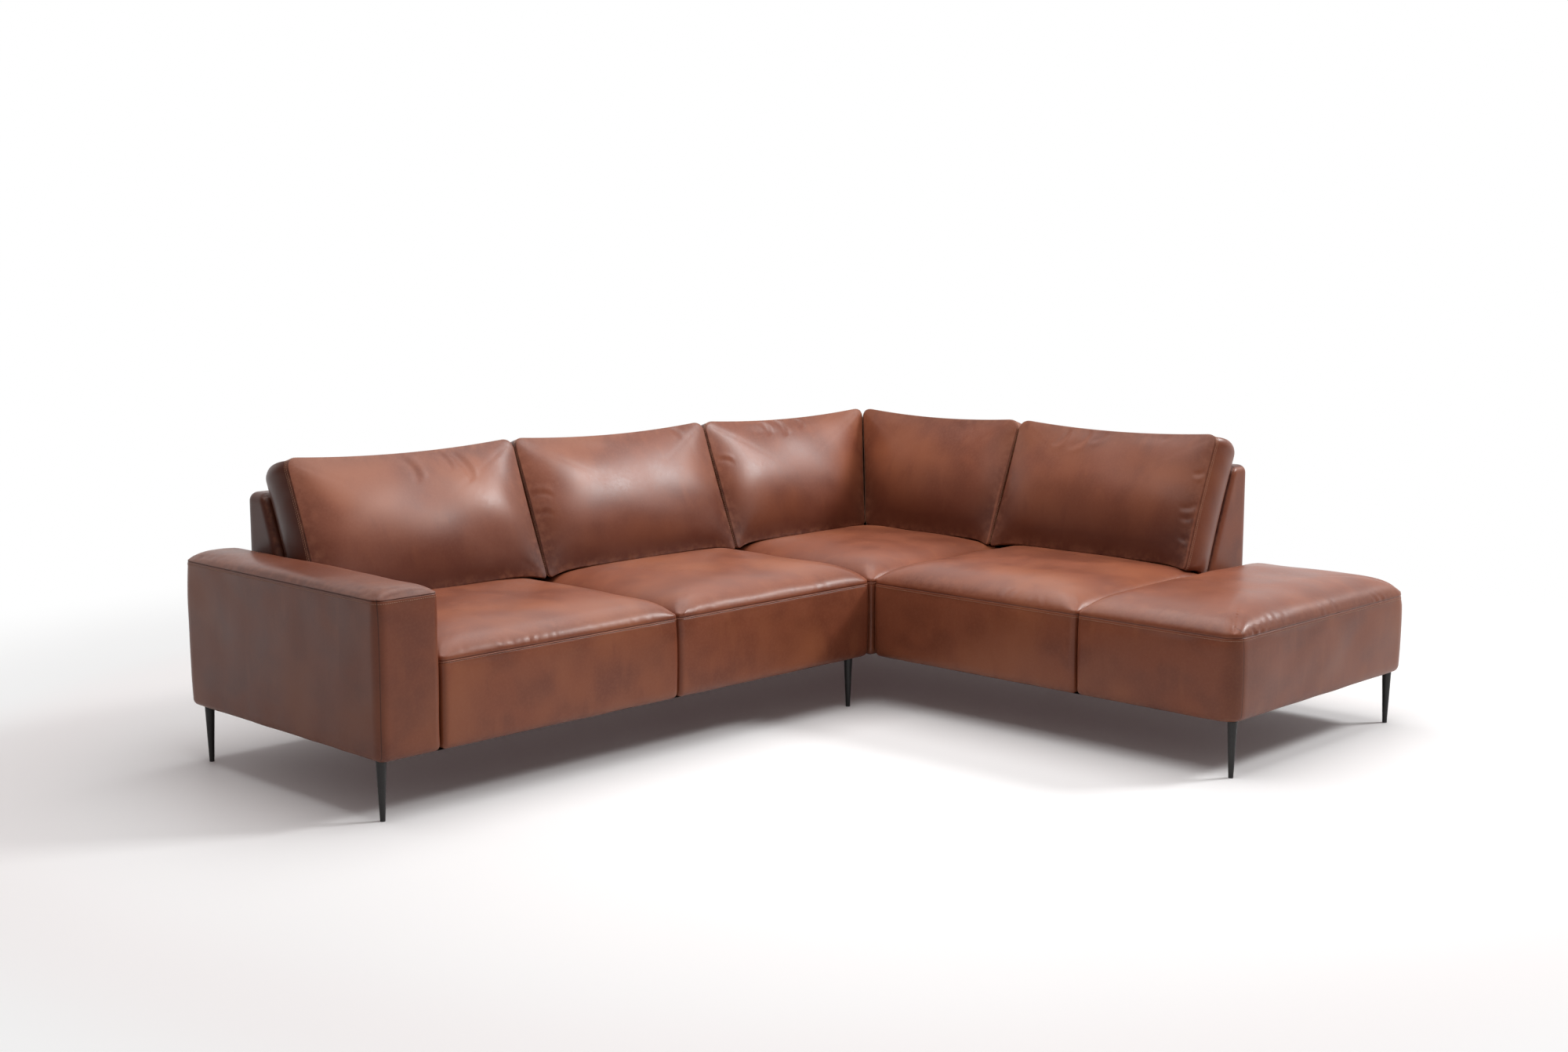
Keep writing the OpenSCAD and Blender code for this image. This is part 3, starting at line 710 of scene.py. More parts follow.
class Board:
    """The shader nodes of one material, or of the world."""

    def __init__(self, tree: bpy.types.NodeTree, material: bpy.types.Material | None = None) -> None:
        """Empties a node tree.

        Args:
            tree: The tree.
            material: The material that it belongs to, if any.
        """
        self.tree = tree
        self.material = material
        tree.nodes.clear()

    @classmethod
    def of(cls, name: str) -> Board:
        """Starts a new material.

        Args:
            name: Its name.

        Returns:
            Its board.
        """
        material = bpy.data.materials.new(name)
        material.use_nodes = True
        return cls(material.node_tree, material)

    def node(
        self, kind: str, settings: dict | None = None, inputs: dict | None = None, output: int | str = 0
    ) -> Link:
        """Adds a node.

        Args:
            kind: The node's type.
            settings: Its settings.
            inputs: A value or a link for each named or numbered input.
            output: Which output to return.

        Returns:
            That output.
        """
        node = self.tree.nodes.new(kind)
        for key, value in (settings or {}).items():
            setattr(node, key, value)
        for key, value in (inputs or {}).items():
            socket = node.inputs[key]
            if isinstance(value, Link):
                self.tree.links.new(value.socket, socket)
            else:
                socket.default_value = value
        return Link(self, node.outputs[output] if len(node.outputs) else None)

    def math(self, operation: str, a: Link | float, b: Link | float = 0.0) -> Link:
        """Adds a Math node."""
        return self.node("ShaderNodeMath", {"operation": operation}, {0: a, 1: b})

    def place(self) -> Link:
        """Where the shaded point is on the object."""
        return self.node("ShaderNodeTexCoord", output="Object")

    def along(self, way: Link, axis: int) -> Link:
        """Picks X (0), Y (1) or Z (2) of a place."""
        return self.node("ShaderNodeSeparateXYZ", {}, {"Vector": way}, output=axis)

    def spread(self, way: Link, scale: tuple[float, float, float]) -> Link:
        """Stretches a pattern's coordinates."""
        return self.node("ShaderNodeMapping", {"vector_type": "POINT"}, {"Vector": way, "Scale": scale})

    def noise(
        self, way: Link, scale: float, detail: float = 2.0, rough: float = 0.5, bend: float = 0.0
    ) -> Link:
        """Adds a noise of about 0 to 1."""
        return self.node(
            "ShaderNodeTexNoise", {"noise_dimensions": "3D"},
            {"Vector": way, "Scale": scale, "Detail": detail, "Roughness": rough, "Distortion": bend},
        )

    def wave(self, way: Link, bands: str, scale: float, bend: float, more: dict | None = None) -> Link:
        """Adds waves from 0 to 1 across one direction."""
        inputs = {"Vector": way, "Scale": scale, "Distortion": bend, **(more or {})}
        return self.node("ShaderNodeTexWave", {"bands_direction": bands}, inputs, output="Fac")

    def ramp(self, value: Link, low: float, high: float) -> Link:
        """Turns values from low to high into 0 to 1 with soft ends."""
        return self.node(
            "ShaderNodeMapRange", {"interpolation_type": "SMOOTHSTEP", "clamp": True},
            {"Value": value, "From Min": low, "From Max": high, "To Min": 0.0, "To Max": 1.0},
        )

    def blend(self, share: Link | float, a: Link | Colour, b: Link | Colour) -> Link:
        """Mixes two colours."""
        return self.node("ShaderNodeMix", {"data_type": "RGBA"}, {0: share, 6: a, 7: b}, output=2)

    def bump(self, height: Link, distance: float, strength: float) -> Link:
        """Turns a height into a normal."""
        return self.node("ShaderNodeBump", {}, {"Height": height, "Distance": distance, "Strength": strength})

    def attribute(self, name: str) -> Link:
        """Reads a number kept on the piece."""
        return self.node("ShaderNodeAttribute", {"attribute_name": name}, output="Fac")

    def ray(self, kind: str) -> Link:
        """Whether the ray that sees the point is of a kind."""
        return self.node("ShaderNodeLightPath", output=f"Is {kind} Ray")

    def shader(self, **inputs: Link | float | Colour) -> Link:
        """Adds a surface shader, given its inputs with _ for each space in a name."""
        spaced = {key.replace("_", " "): value for key, value in inputs.items()}
        return self.node("ShaderNodeBsdfPrincipled", {}, spaced)

    def surface(self, **inputs: Link | float | Colour) -> bpy.types.Material:
        """Finishes the material with a surface shader, given its inputs with _ for each space."""
        self.node("ShaderNodeOutputMaterial", {}, {"Surface": self.shader(**inputs)})
        return self.material


def colour(red: float, green: float, blue: float) -> Colour:
    """A colour from its linear parts."""
    return (red, green, blue, 1.0)


@dataclass(frozen=True)
class UprightSeam:
    """A sewn line up a cover's corner, where its panels meet.

    Attributes:
        place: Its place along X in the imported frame.
        before: Place along Y that the line lies before.
    """

    place: float
    before: float

    #: Half width of the line where it fades and where it is full, and how far it wavers.
    FADE, FULL, WAVER = 1.5 * MM, 0.3 * MM, 0.6 * MM

    def line(self, board: Board, place: Link) -> Link:
        """Masks the seam.

        Args:
            board: The leather's nodes.
            place: Where the shaded point is.

        Returns:
            1 on the seam and 0 elsewhere.
        """
        wave = (board.noise(place, 60.0, 1.0) - 0.5) * self.WAVER
        off = board.math("ABSOLUTE", board.along(place, 0) - self.place + wave)
        here = board.math("LESS_THAN", board.along(place, 1), self.before)
        return board.ramp(off, self.FADE, self.FULL) * here


@dataclass(frozen=True)
class LeatherFinish:
    """Pulled-up leather with a soft gloss and cloudy changes of tone, darkened by painted shade where a
    piece's shade mark is set.
    """

    name: str = "chestnut_leather"
    deep: Colour = colour(0.188, 0.052, 0.026)
    body: Colour = colour(0.236, 0.067, 0.032)
    warm: Colour = colour(0.305, 0.096, 0.043)
    rubbed: Colour = colour(0.350, 0.135, 0.074)
    # Tone of the painted shade: the shade mark darkens the leather towards it.
    dark: Colour = colour(0.075, 0.018, 0.009)
    hollow: Colour = colour(0.030, 0.010, 0.007)
    gloss: float = 0.31

    def make(self, upright: UprightSeam | None = None) -> bpy.types.Material:
        """Builds the leather.

        Args:
            upright: A sewn line up the cover.

        Returns:
            The material.
        """
        board = Board.of(self.name)
        place = board.place()
        cloud = board.noise(place, 3.1, 2.0, 0.5, 0.2)
        patch = board.noise(board.spread(place, (1.0, 1.0, 1.4)), 7.5, 1.5, 0.45, 0.2)
        streak = board.noise(board.spread(place, (1.0, 1.0, 0.35)), 20.0, 2.0, 0.5, 0.1)
        speck = board.noise(place, 140.0, 2.0, 0.5)
        wear, seam = board.attribute("wear"), board.attribute("seam")
        rub = board.ramp(board.noise(place, 38.0, 3.0, 0.6), 0.36, 0.70)
        tone = board.blend(board.ramp(patch, 0.32, 0.66), self.deep, self.body)
        for share, over in (
            (board.ramp(cloud, 0.42, 0.72), self.warm),
            (board.ramp(streak, 0.52, 0.80) * 0.45, self.warm),
            (board.ramp(streak, 0.46, 0.22) * 0.40, self.deep),
            (board.ramp(speck, 0.35, 0.75) * 0.14, self.rubbed),
            # Painted shade: the shade mark darkens the leather towards the dark tone.
            (board.attribute("shade") * 0.88, self.dark),
            (wear * rub * 0.40, self.rubbed),
            (seam * 0.85, self.hollow),
        ):
            tone = board.blend(share, tone, over)
        grain = board.node(
            "ShaderNodeTexVoronoi", {"feature": "SMOOTH_F1"},
            {"Vector": place, "Scale": 520.0, "Smoothness": 0.6, "Randomness": 1.0},
        )
        height = grain * -0.25 + board.noise(place, 45.0, 2.0, 0.5) * 0.6
        if upright:
            line = upright.line(board, place)
            tone = board.blend(line * 0.6, tone, self.hollow)
            height = height - line * 2.0
        patches, specks = board.ramp(patch, 0.3, 0.7) * 0.05, board.ramp(speck, 0.3, 0.7) * 0.04
        return board.surface(
            Base_Color=tone,
            Roughness=self.gloss + patches + specks + wear * 0.04 + seam * 0.3,
            Normal=board.bump(height, 0.0004, 0.3),
            Specular_IOR_Level=0.32,
            Coat_Weight=0.05,
            Coat_Roughness=0.24,
        )


@dataclass(frozen=True)
class ThreadFinish:
    """Twisted sewing thread."""

    name: str = "tan_thread"
    tone: Colour = colour(0.620, 0.350, 0.230)
    shade: Colour = colour(0.300, 0.130, 0.075)

    def make(self) -> bpy.types.Material:
        """Builds the thread.

        Returns:
            The material.
        """
        board = Board.of(self.name)
        ply = board.wave(board.place(), "DIAGONAL", 420.0, 1.0)
        tone = board.blend(ply, self.shade, self.tone)
        return board.surface(Base_Color=tone, Roughness=0.62, Normal=board.bump(ply, 0.0002, 0.5))


@dataclass(frozen=True)
class ClothFinish:
    """Plain woven or pressed cloth."""

    name: str
    tone: Colour
    shade: Colour
    threads: float
    rough: float = 0.92

    def make(self) -> bpy.types.Material:
        """Builds the cloth.

        Returns:
            The material.
        """
        board = Board.of(self.name)
        place = board.place()
        warp, weft = (board.wave(place, bands, self.threads / 6.283, 0.6) for bands in "XY")
        weave = warp * weft
        fuzz = board.noise(place, 60.0, 3.0, 0.6)
        tone = board.blend(board.ramp(fuzz * 0.6 + weave * 0.5, 0.2, 0.8), self.shade, self.tone)
        return board.surface(
            Base_Color=tone, Roughness=self.rough, Specular_IOR_Level=0.25,
            Normal=board.bump(weave + fuzz * 0.5, 0.0003, 0.5),
        )


@dataclass(frozen=True)
class MetalFinish:
    """Powder-coated, plated or brushed metal."""

    name: str
    tone: Colour
    worn: Colour
    metallic: float
    rough: float

    def make(self) -> bpy.types.Material:
        """Builds the metal.

        Returns:
            The material.
        """
        board = Board.of(self.name)
        place = board.place()
        fine = board.noise(place, 260.0, 2.0, 0.6)
        brushed = board.noise(board.spread(place, (1.0, 1.0, 0.06)), 240.0, 2.0, 0.5)
        stain = board.noise(place, 18.0, 3.0, 0.6)
        tone = board.blend(board.ramp(stain * 0.6 + fine * 0.4, 0.35, 0.75) * 0.6, self.tone, self.worn)
        gloss = self.rough + board.ramp(fine, 0.3, 0.7) * 0.08 + board.ramp(stain, 0.4, 0.7) * 0.06
        return board.surface(
            Base_Color=tone, Metallic=self.metallic, Roughness=gloss,
            Normal=board.bump(fine * 0.5 + brushed * 0.5, 0.00006, 0.4),
        )


@dataclass(frozen=True)
class TimberFinish:
    """Sawn softwood and board."""

    name: str = "sawn_timber"
    pale: Colour = colour(0.62, 0.43, 0.25)
    ring: Colour = colour(0.40, 0.235, 0.115)

    def make(self) -> bpy.types.Material:
        """Builds the timber.

        Returns:
            The material.
        """
        board = Board.of(self.name)
        place = board.spread(board.place(), (1.2, 1.0, 5.0))
        rings = board.wave(place, "Z", 5.0, 5.0, {"Detail": 3.0, "Detail Scale": 1.4})
        fibre = board.noise(board.spread(place, (0.25, 0.25, 6.0)), 60.0, 3.0, 0.6)
        tone = board.blend(board.ramp(rings, 0.25, 0.9) * 0.75, self.pale, self.ring)
        tone = board.blend(board.ramp(fibre, 0.35, 0.75) * 0.3, tone, self.ring)
        return board.surface(
            Base_Color=tone, Roughness=0.68 + fibre * 0.12, Normal=board.bump(fibre, 0.0004, 0.4)
        )


@dataclass(frozen=True)
class FoamFinish:
    """Cut upholstery foam with its open cells."""

    name: str = "cut_foam"
    tone: Colour = colour(0.80, 0.70, 0.42)
    cell: Colour = colour(0.52, 0.42, 0.22)

    def make(self) -> bpy.types.Material:
        """Builds the foam.

        Returns:
            The material.
        """
        board = Board.of(self.name)
        place = board.place()
        cells = board.node(
            "ShaderNodeTexVoronoi", {"feature": "DISTANCE_TO_EDGE"}, {"Vector": place, "Scale": 420.0}
        )
        wall = board.ramp(cells, 0.0, 0.35)
        stain = board.ramp(board.noise(place, 6.0, 3.0, 0.6), 0.4, 0.8)
        tone = board.blend(wall * 0.35 + stain * 0.25, self.tone, self.cell)
        return board.surface(Base_Color=tone, Roughness=0.9, Normal=board.bump(wall * -1.0, 0.0006, 0.5))


@dataclass(frozen=True)
class PlasticFinish:
    """Moulded plastic with a fine spark texture."""

    name: str = "glide_plastic"
    tone: Colour = colour(0.030, 0.030, 0.032)
    rubbed: Colour = colour(0.075, 0.073, 0.072)

    def make(self) -> bpy.types.Material:
        """Builds the plastic.

        Returns:
            The material.
        """
        board = Board.of(self.name)
        place = board.place()
        spark = board.noise(place, 900.0, 2.0, 0.6)
        scuff = board.ramp(board.noise(board.spread(place, (1.0, 1.0, 0.3)), 160.0, 3.0, 0.6), 0.5, 0.8)
        tone = board.blend(scuff * 0.6, self.tone, self.rubbed)
        return board.surface(
            Base_Color=tone, Roughness=0.48 + scuff * 0.15, Normal=board.bump(spark, 0.00005, 0.5)
        )


@dataclass(frozen=True)
class Finishes:
    """The finishes shared by the sofa's pieces."""

    leather: bpy.types.Material
    thread: bpy.types.Material
    timber: bpy.types.Material
    foam: bpy.types.Material
    webbing: bpy.types.Material
    lining: bpy.types.Material
    tape: bpy.types.Material
    leg: bpy.types.Material
    steel: bpy.types.Material
    slider: bpy.types.Material
    glide: bpy.types.Material

    @staticmethod
    def make() -> Finishes:
        """Builds them all."""
        finishes = {
            "leather": LeatherFinish(),
            "thread": ThreadFinish(),
            "timber": TimberFinish(),
            "foam": FoamFinish(),
            "webbing": ClothFinish(
                "elastic_webbing", colour(0.075, 0.074, 0.078), colour(0.020, 0.020, 0.022), 1400.0
            ),
            "lining": ClothFinish(
                "base_lining_cloth", colour(0.040, 0.040, 0.042), colour(0.016, 0.016, 0.017), 2600.0, 0.96
            ),
            "tape": ClothFinish(
                "zip_tape_cloth", colour(0.085, 0.040, 0.025), colour(0.030, 0.014, 0.010), 3800.0
            ),
            "leg": MetalFinish(
                "black_leg_coat", colour(0.026, 0.025, 0.025), colour(0.052, 0.050, 0.049), 0.55, 0.34
            ),
            "steel": MetalFinish(
                "zinc_plated_steel", colour(0.52, 0.53, 0.55), colour(0.36, 0.36, 0.37), 1.0, 0.36
            ),
            "slider": MetalFinish(
                "zip_slider_metal", colour(0.34, 0.27, 0.19), colour(0.20, 0.155, 0.11), 1.0, 0.30
            ),
            "glide": PlasticFinish(),
        }
        return Finishes(**{name: finish.make() for name, finish in finishes.items()})


@dataclass
class SofaPiece:
    """What the sofa's covers share.

    Attributes:
        name: Name of the piece.
        wing: Wing that its places are given in.
        node: CAD solid that it stands for, where that isn't the cover named after the piece.
        seed: Picks its irregularities.
    """

    name: str
    wing: Wing
    node: str = field(default="", kw_only=True)
    seed: int = field(default=1, kw_only=True)

    #: How tightly it is stuffed, from 0 to 1.
    FILL = 0.85

    @property
    def body(self) -> str:
        """Body that it rides on."""
        return "sofa"

    def stood(self, points: np.ndarray) -> np.ndarray:
        """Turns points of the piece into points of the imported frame."""
        return self.wing.place(points)

    def tie(self, piece: bpy.types.Object, finish: bpy.types.Material, node: str = "") -> None:
        """Finishes a piece and ties it to the frame.

        Args:
            piece: The cover or its stitching.
            finish: Its finish.
            node: CAD solid that it stands for, if any.
        """
        piece.data.materials.clear()
        piece.data.materials.append(finish)
        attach(piece, self.body)
        if node:
            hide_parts(node)
        LOG.info("%s: %d faces", piece.name, len(piece.data.polygons))

    def dress(self, piece: bpy.types.Object, leather: bpy.types.Material) -> None:
        """Stands a cover in its place and finishes it.

        Args:
            piece: The cover, on its own axes.
            leather: Its finish.
        """
        Bench.move(piece, self.stood(Bench.points(piece)))
        Bench.smooth(piece)
        self.tie(piece, leather, self.node or f"{self.name}_cover")


class SewnPiece(SofaPiece):
    """A cover made of two panels and a band, with seams and stitching round it."""

    @property
    def rows(self) -> int:
        """Rows of faces down its sides, as each kind of cover has them."""
        raise NotImplementedError(self.name)

    @property
    def half(self) -> np.ndarray:
        """Half of its panel's two sides, as each kind of cover has them."""
        raise NotImplementedError(self.name)

    def block(self, cell: float, fewest: int) -> bpy.types.Object:
        """Makes the unit block of the cover.

        Args:
            cell: Length of a face along its panels.
            fewest: The fewest faces along a side of them.

        Returns:
            The block.
        """
        across = tuple(int(max(fewest, round(side / cell))) for side in 2 * self.half)
        return Bench.block(self.name, across, self.rows)

    def level(self, unit: np.ndarray) -> np.ndarray:
        """Counts the rows from the first panel to each vertex of the unit block."""
        return (1 - unit[:, 2]) * self.rows

    def row_of(self, unit: np.ndarray) -> np.ndarray:
        """Picks the row of each vertex of the unit block."""
        return np.clip(np.rint(self.level(unit)).astype(int), 0, self.rows)

    def inward(self, unit: np.ndarray) -> np.ndarray:
        """Measures how far in from its panel's edge each vertex is."""
        return (1 - np.abs(unit[:, :2] * 2 - 1).max(1)) * self.half.min()

    def row(self, piece: bpy.types.Object, unit: np.ndarray, level: int) -> tuple[np.ndarray, np.ndarray]:
        """Follows one row of a cover's side round it.

        Args:
            piece: The cover.
            unit: Where each vertex was in the unit block.
            level: Number of the row.

        Returns:
            The row's points in order and the outward directions there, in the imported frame.
        """
        here = np.nonzero(np.abs(unit[:, 2] - (1 - level / self.rows)) < 1e-4)[0]
        here = here[np.argsort(along_edge(unit[here, :2] * 2 - 1, self.half))]
        here = np.append(here, here[0])
        zero = self.stood(np.zeros((1, 3)))
        return self.stood(Bench.points(piece)[here]), self.stood(Bench.normals(piece)[here]) - zero

    def sew(self, rows: list[tuple[np.ndarray, np.ndarray]], thread: bpy.types.Material) -> None:
        """Adds the piece's stitching."""
        self.tie(Stitching(self.name + "_stitching").sew(rows), thread)


@dataclass
class PaddedSeat(SewnPiece):
    """The cover of a seat, or of the arm: a padded top sewn to a band round its sides.

    Attributes:
        low: Low corner in plan.
        high: High corner in plan.
        radii: Radii of its upright edges from the low corner, anticlockwise.
        puffs: How far its front, right, rear and left sides swell.
        pressed: Where along Y and along X a back cushion starts to press its top down.
        seam: Height of its seam.
        crown: Rise of its top above the seam.
        pucker: Height of the small gathers along its seam.
        folds: Creases in its top.
        welted: Whether its seam has a welt under it.
        groove: How dark its seam is.
        powers: Powers of its crown along X and along Y: the higher, the flatter.
        shade: How much painted shade darkens its top; its band gets 0.4 of it.
    """

    low: tuple[float, float]
    high: tuple[float, float]
    radii: tuple[float, float, float, float]
    puffs: tuple[float, float, float, float]
    pressed: tuple[float | None, float | None] = (None, None)
    seam: float = PLAN.seam
    crown: float = PLAN.crown
    pucker: float = 0.0008
    folds: tuple[Fold, ...] = ()
    welted: bool = True
    groove: float = 1.0
    powers: tuple[float, float] = (4.0, 4.0)
    shade: float = 0.0

    #: Length of a face of its top, and the fewest along a side.
    CELL, FEWEST = 0.0090, 20
    #: Share of the crown that the edge of the top's grid has.
    EDGE_RISE = 12 / 79
    #: Share of the top's edge and inset in millimetres of the rows above the seam.
    SHOULDER = ((1, 2.7), (0.72, 1.5), (0.48, 0.8), (0.30, 0.5), (0.17, 0.7), (0.06, 1.7))
    #: Depth below the seam and inset, in millimetres, of the rows of a welt and of a plain seam.
    WELT = (
        (0, 2.4), (0.7, 1.9), (1.3, 0.5), (1.9, -0.5), (2.9, -0.9), (3.9, -0.5), (4.5, 0.3), (5.1, 1.5),
        (5.9, 0.8), (6.9, 0.1), (14, 0.0),
    )
    PLAIN = (
        (0, 2.6), (0.8, 2.1), (1.6, 1.2), (2.5, 0.7), (3.6, 0.5), (5.0, 0.4), (6.5, 0.3), (8.0, 0.2),
        (9.5, 0.1), (11.5, 0.0), (14, 0.0),
    )
    #: Rows down the band, radius of its bottom edge, and inset of the last row underneath.
    BAND_ROWS, ROLL, UNDERSIDE = 14, 0.018, 0.045
    #: The row in the seam, and the row with stitches.
    SEAM_ROW, STITCH_ROW = 6, 13
    #: Rows from the top that belong to it, and rows to where the plain band starts.
    TOP_ROWS, SEAM_ROWS = 5.5, 15
    #: How uneven the padding is on the top and on the band.
    UNEVEN = (0.0012, 0.0006)
    #: How far from the seam its gathers reach, and the shortest and longest of their waves.
    REACH, GATHERS = 0.030, (0.018, 0.048)
    #: How wide the line between two slopes of the top is softened, and how many times.
    SOFT_WIDTH, SOFT_TIMES = 0.045, 14

    @property
    def half(self) -> np.ndarray:
        """Half of its two sides in plan."""
        return np.subtract(self.high, self.low) / 2

    @property
    def rows(self) -> int:
        """Rows of faces down its sides."""
        return len(self.side) - 1

    @cached_property
    def side(self) -> np.ndarray:
        """Lists the rows from the grid of the top down to the grid of the bottom.

        Returns:
            For each row, its share of the height from the seam to the top's edge, its depth below the
            seam, how far it is drawn in, and its share of the side's puff.
        """
        rows = [(rise, 0, inset * MM, 0) for rise, inset in self.SHOULDER]
        rows += [(0, drop * MM, inset * MM, 0) for drop, inset in (self.WELT if self.welted else self.PLAIN)]
        start, depth = rows[-1][1], self.seam - PLAN.base
        for step in range(1, self.BAND_ROWS + 1):
            drop = start + (depth - self.ROLL - start) * step / self.BAND_ROWS
            rows.append((0, drop, 0, math.sin(math.pi * (drop / depth) ** 0.8)))
        for turn in (18, 36, 54, 72, 90):
            angle = math.radians(turn)
            rows.append((0, depth - self.ROLL * (1 - math.sin(angle)), self.ROLL * (1 - math.cos(angle)), 0))
        rows.append((0, depth - 0.2 * MM, self.UNDERSIDE, 0))
        return np.array(rows)

    def undersides(self, place: np.ndarray, gap: float) -> list[tuple[np.ndarray, np.ndarray]]:
        """Measures the back cushions that rest on the seat.

        Args:
            place: Points of the seat.
            gap: Room to leave under the cushions.

        Returns:
            For each cushion, the height under it at each point, and how far past its edge the point is.
        """
        past = [place[:, axis] - start for axis, start in zip((1, 0), self.pressed) if start is not None]
        return [(PLAN.cushion_z - gap - far * math.tan(PLAN.lean), far) for far in past]

    def top(self, place: np.ndarray, share: np.ndarray) -> np.ndarray:
        """Height of the top.

        Args:
            place: Points in plan.
            share: Where each lies between the middle and the edge along X and along Y.

        Returns:
            Their heights.
        """
        z = self.seam + self.crown * np.min([crown_share(share[:, k], self.powers[k]) for k in range(2)], 0)
        for under, _ in self.undersides(place, 1.6 * MM):
            z = (z + under - np.sqrt((z - under) ** 2 + (5 * MM) ** 2)) / 2
        return np.maximum(z, self.seam + 0.4 * MM)

    def shape(self, unit: np.ndarray) -> np.ndarray:
        """Turns the unit block into the cover.

        Args:
            unit: The block's vertices.

        Returns:
            Where they go in the wing.
        """
        powers = np.asarray(self.powers)
        last = (1 - self.EDGE_RISE**2) ** (1 / powers)
        steps = unit[:, :2] * 2 - 1
        share = even_shares(steps, self.half, self.crown, powers, last)
        rise, drop, inset, puff = self.side[self.row_of(unit)].T
        flat, out = rounded_plan(share / last, self.half, self.radii, inset)
        x, y = out.T
        ways = np.stack([-y, x, y, -x], 1).clip(0, 1) ** 2
        belly = 1 + 0.25 * ripple(along_edge(steps, self.half), self.seed + 40, (0.25, 0.7), 6)
        flat = flat + out * (puff * belly * (ways @ np.asarray(self.puffs)))[:, None]
        place = np.add(self.high, self.low) / 2 + flat
        z = self.seam + rise * (self.top(place, share) - self.seam) - drop
        self.soften(unit, z)
        return np.concatenate([place, z[:, None]], 1)

    def soften(self, unit: np.ndarray, z: np.ndarray) -> None:
        """Evens out the top where the slopes from two sides meet.

        Args:
            unit: The block's vertices.
            z: Their heights, which are changed in place.
        """
        here = np.nonzero(unit[:, 2] > 0.9999)[0]
        u, v = np.round(unit[here, :2].T, 5)
        grid = here[np.lexsort((v, u))].reshape(len(np.unique(u)), -1)
        height = z[grid]
        off = np.abs(np.abs(unit[grid, 0] * 2 - 1) - np.abs(unit[grid, 1] * 2 - 1)) * self.half.min()
        share = bell(off, self.SOFT_WIDTH)[1:-1, 1:-1]
        for _ in range(self.SOFT_TIMES):
            mean = (height[:-2, 1:-1] + height[2:, 1:-1] + height[1:-1, :-2] + height[1:-1, 2:]) / 4
            height[1:-1, 1:-1] += share * (mean - height[1:-1, 1:-1])
        z[grid] = height

    def gather(self, piece: bpy.types.Object, unit: np.ndarray) -> None:
        """Adds the gathers along the seam, the folds and the unevenness of the padding.

        Args:
            piece: The cover.
            unit: Where each of its vertices was in the unit block.
        """
        points, normals = Bench.points(piece), Bench.normals(piece)
        steps = unit[:, :2] * 2 - 1
        run = along_edge(steps, self.half)
        upper = unit[:, 2] > 1 - self.TOP_ROWS / self.rows
        near = bell(self.inward(unit), self.REACH)
        crowd = np.clip(1.6 * ripple(run, self.seed + 7, (0.16, 0.45), 5) - 0.3, 0, 1.5)
        lift = self.pucker * near * ripple(run, self.seed, self.GATHERS) * (0.2 + crowd) * upper
        lift *= 1 - np.clip(self.level(unit) / 5.0, 0, 1) ** 2
        for fold in self.folds:
            lift += fold.height(steps, self.half) * (unit[:, 2] > 0.999)
        lift += self.UNEVEN[0] * swell(points, self.seed + 3, 0.22) * upper * (1 - near)
        sides = (unit[:, 2] < 1 - self.SEAM_ROWS / self.rows) & (unit[:, 2] > 0.02)
        lift += self.UNEVEN[1] * swell(points, self.seed + 5, 0.16) * sides
        Bench.move(piece, points + normals * lift[:, None])

    def marks(self, unit: np.ndarray) -> dict[str, np.ndarray]:
        """Works out how rubbed, how deep in a seam and how much painted shade each vertex is given.

        Args:
            unit: Where each vertex was in the unit block.

        Returns:
            From 0 to 1 for each vertex, under each mark's name.
        """
        level = self.level(unit)
        seam = 0.35 * bell(level - self.SEAM_ROW - 4, 2.5)
        shoulder = bell(self.inward(unit), 0.04) * (level < 0.5) * 0.6
        hem = bell(level - (self.rows - 4), 2.0) * 0.8
        dark = self.groove * bell(level - self.SEAM_ROW - 0.2, 0.75)
        dark += 0.6 * self.groove * bell(level - self.STITCH_ROW, 0.6)
        upper = unit[:, 2] > 1 - self.TOP_ROWS / self.rows
        return {
            "wear": np.clip(np.maximum(np.maximum(seam, shoulder), hem), 0, 1),
            "seam": np.clip(dark, 0, 1),
            # Painted shade: full on the top, 0.4 of it down the band.
            "shade": self.shade * np.where(upper, 1.0, 0.4),
        }

    def build(self, leather: bpy.types.Material, thread: bpy.types.Material) -> None:
        """Builds, puffs and dresses the cover and its stitching.

        Args:
            leather: The cover's finish.
            thread: The stitching's finish.
        """
        piece = self.block(self.CELL, self.FEWEST)
        unit = Bench.points(piece)
        Bench.move(piece, self.shape(unit))
        self.gather(piece, unit)
        Bench.mark(piece, **self.marks(unit))
        self.keep_low(piece)
        rows = [self.row(piece, unit, self.STITCH_ROW)]
        self.dress(piece, leather)
        self.sew(rows, thread)

    def keep_low(self, piece: bpy.types.Object) -> None:
        """Keeps the top under the back cushions that rest on it.

        Args:
            piece: The cover, in its wing.
        """
        points = Bench.points(piece)
        for under, far in self.undersides(points, 0.9 * MM):
            lowered = np.minimum(points[:, 2], np.maximum(under, self.seam))
            points[:, 2] = np.where(far > -2 * MM, lowered, points[:, 2])
        Bench.move(piece, points)


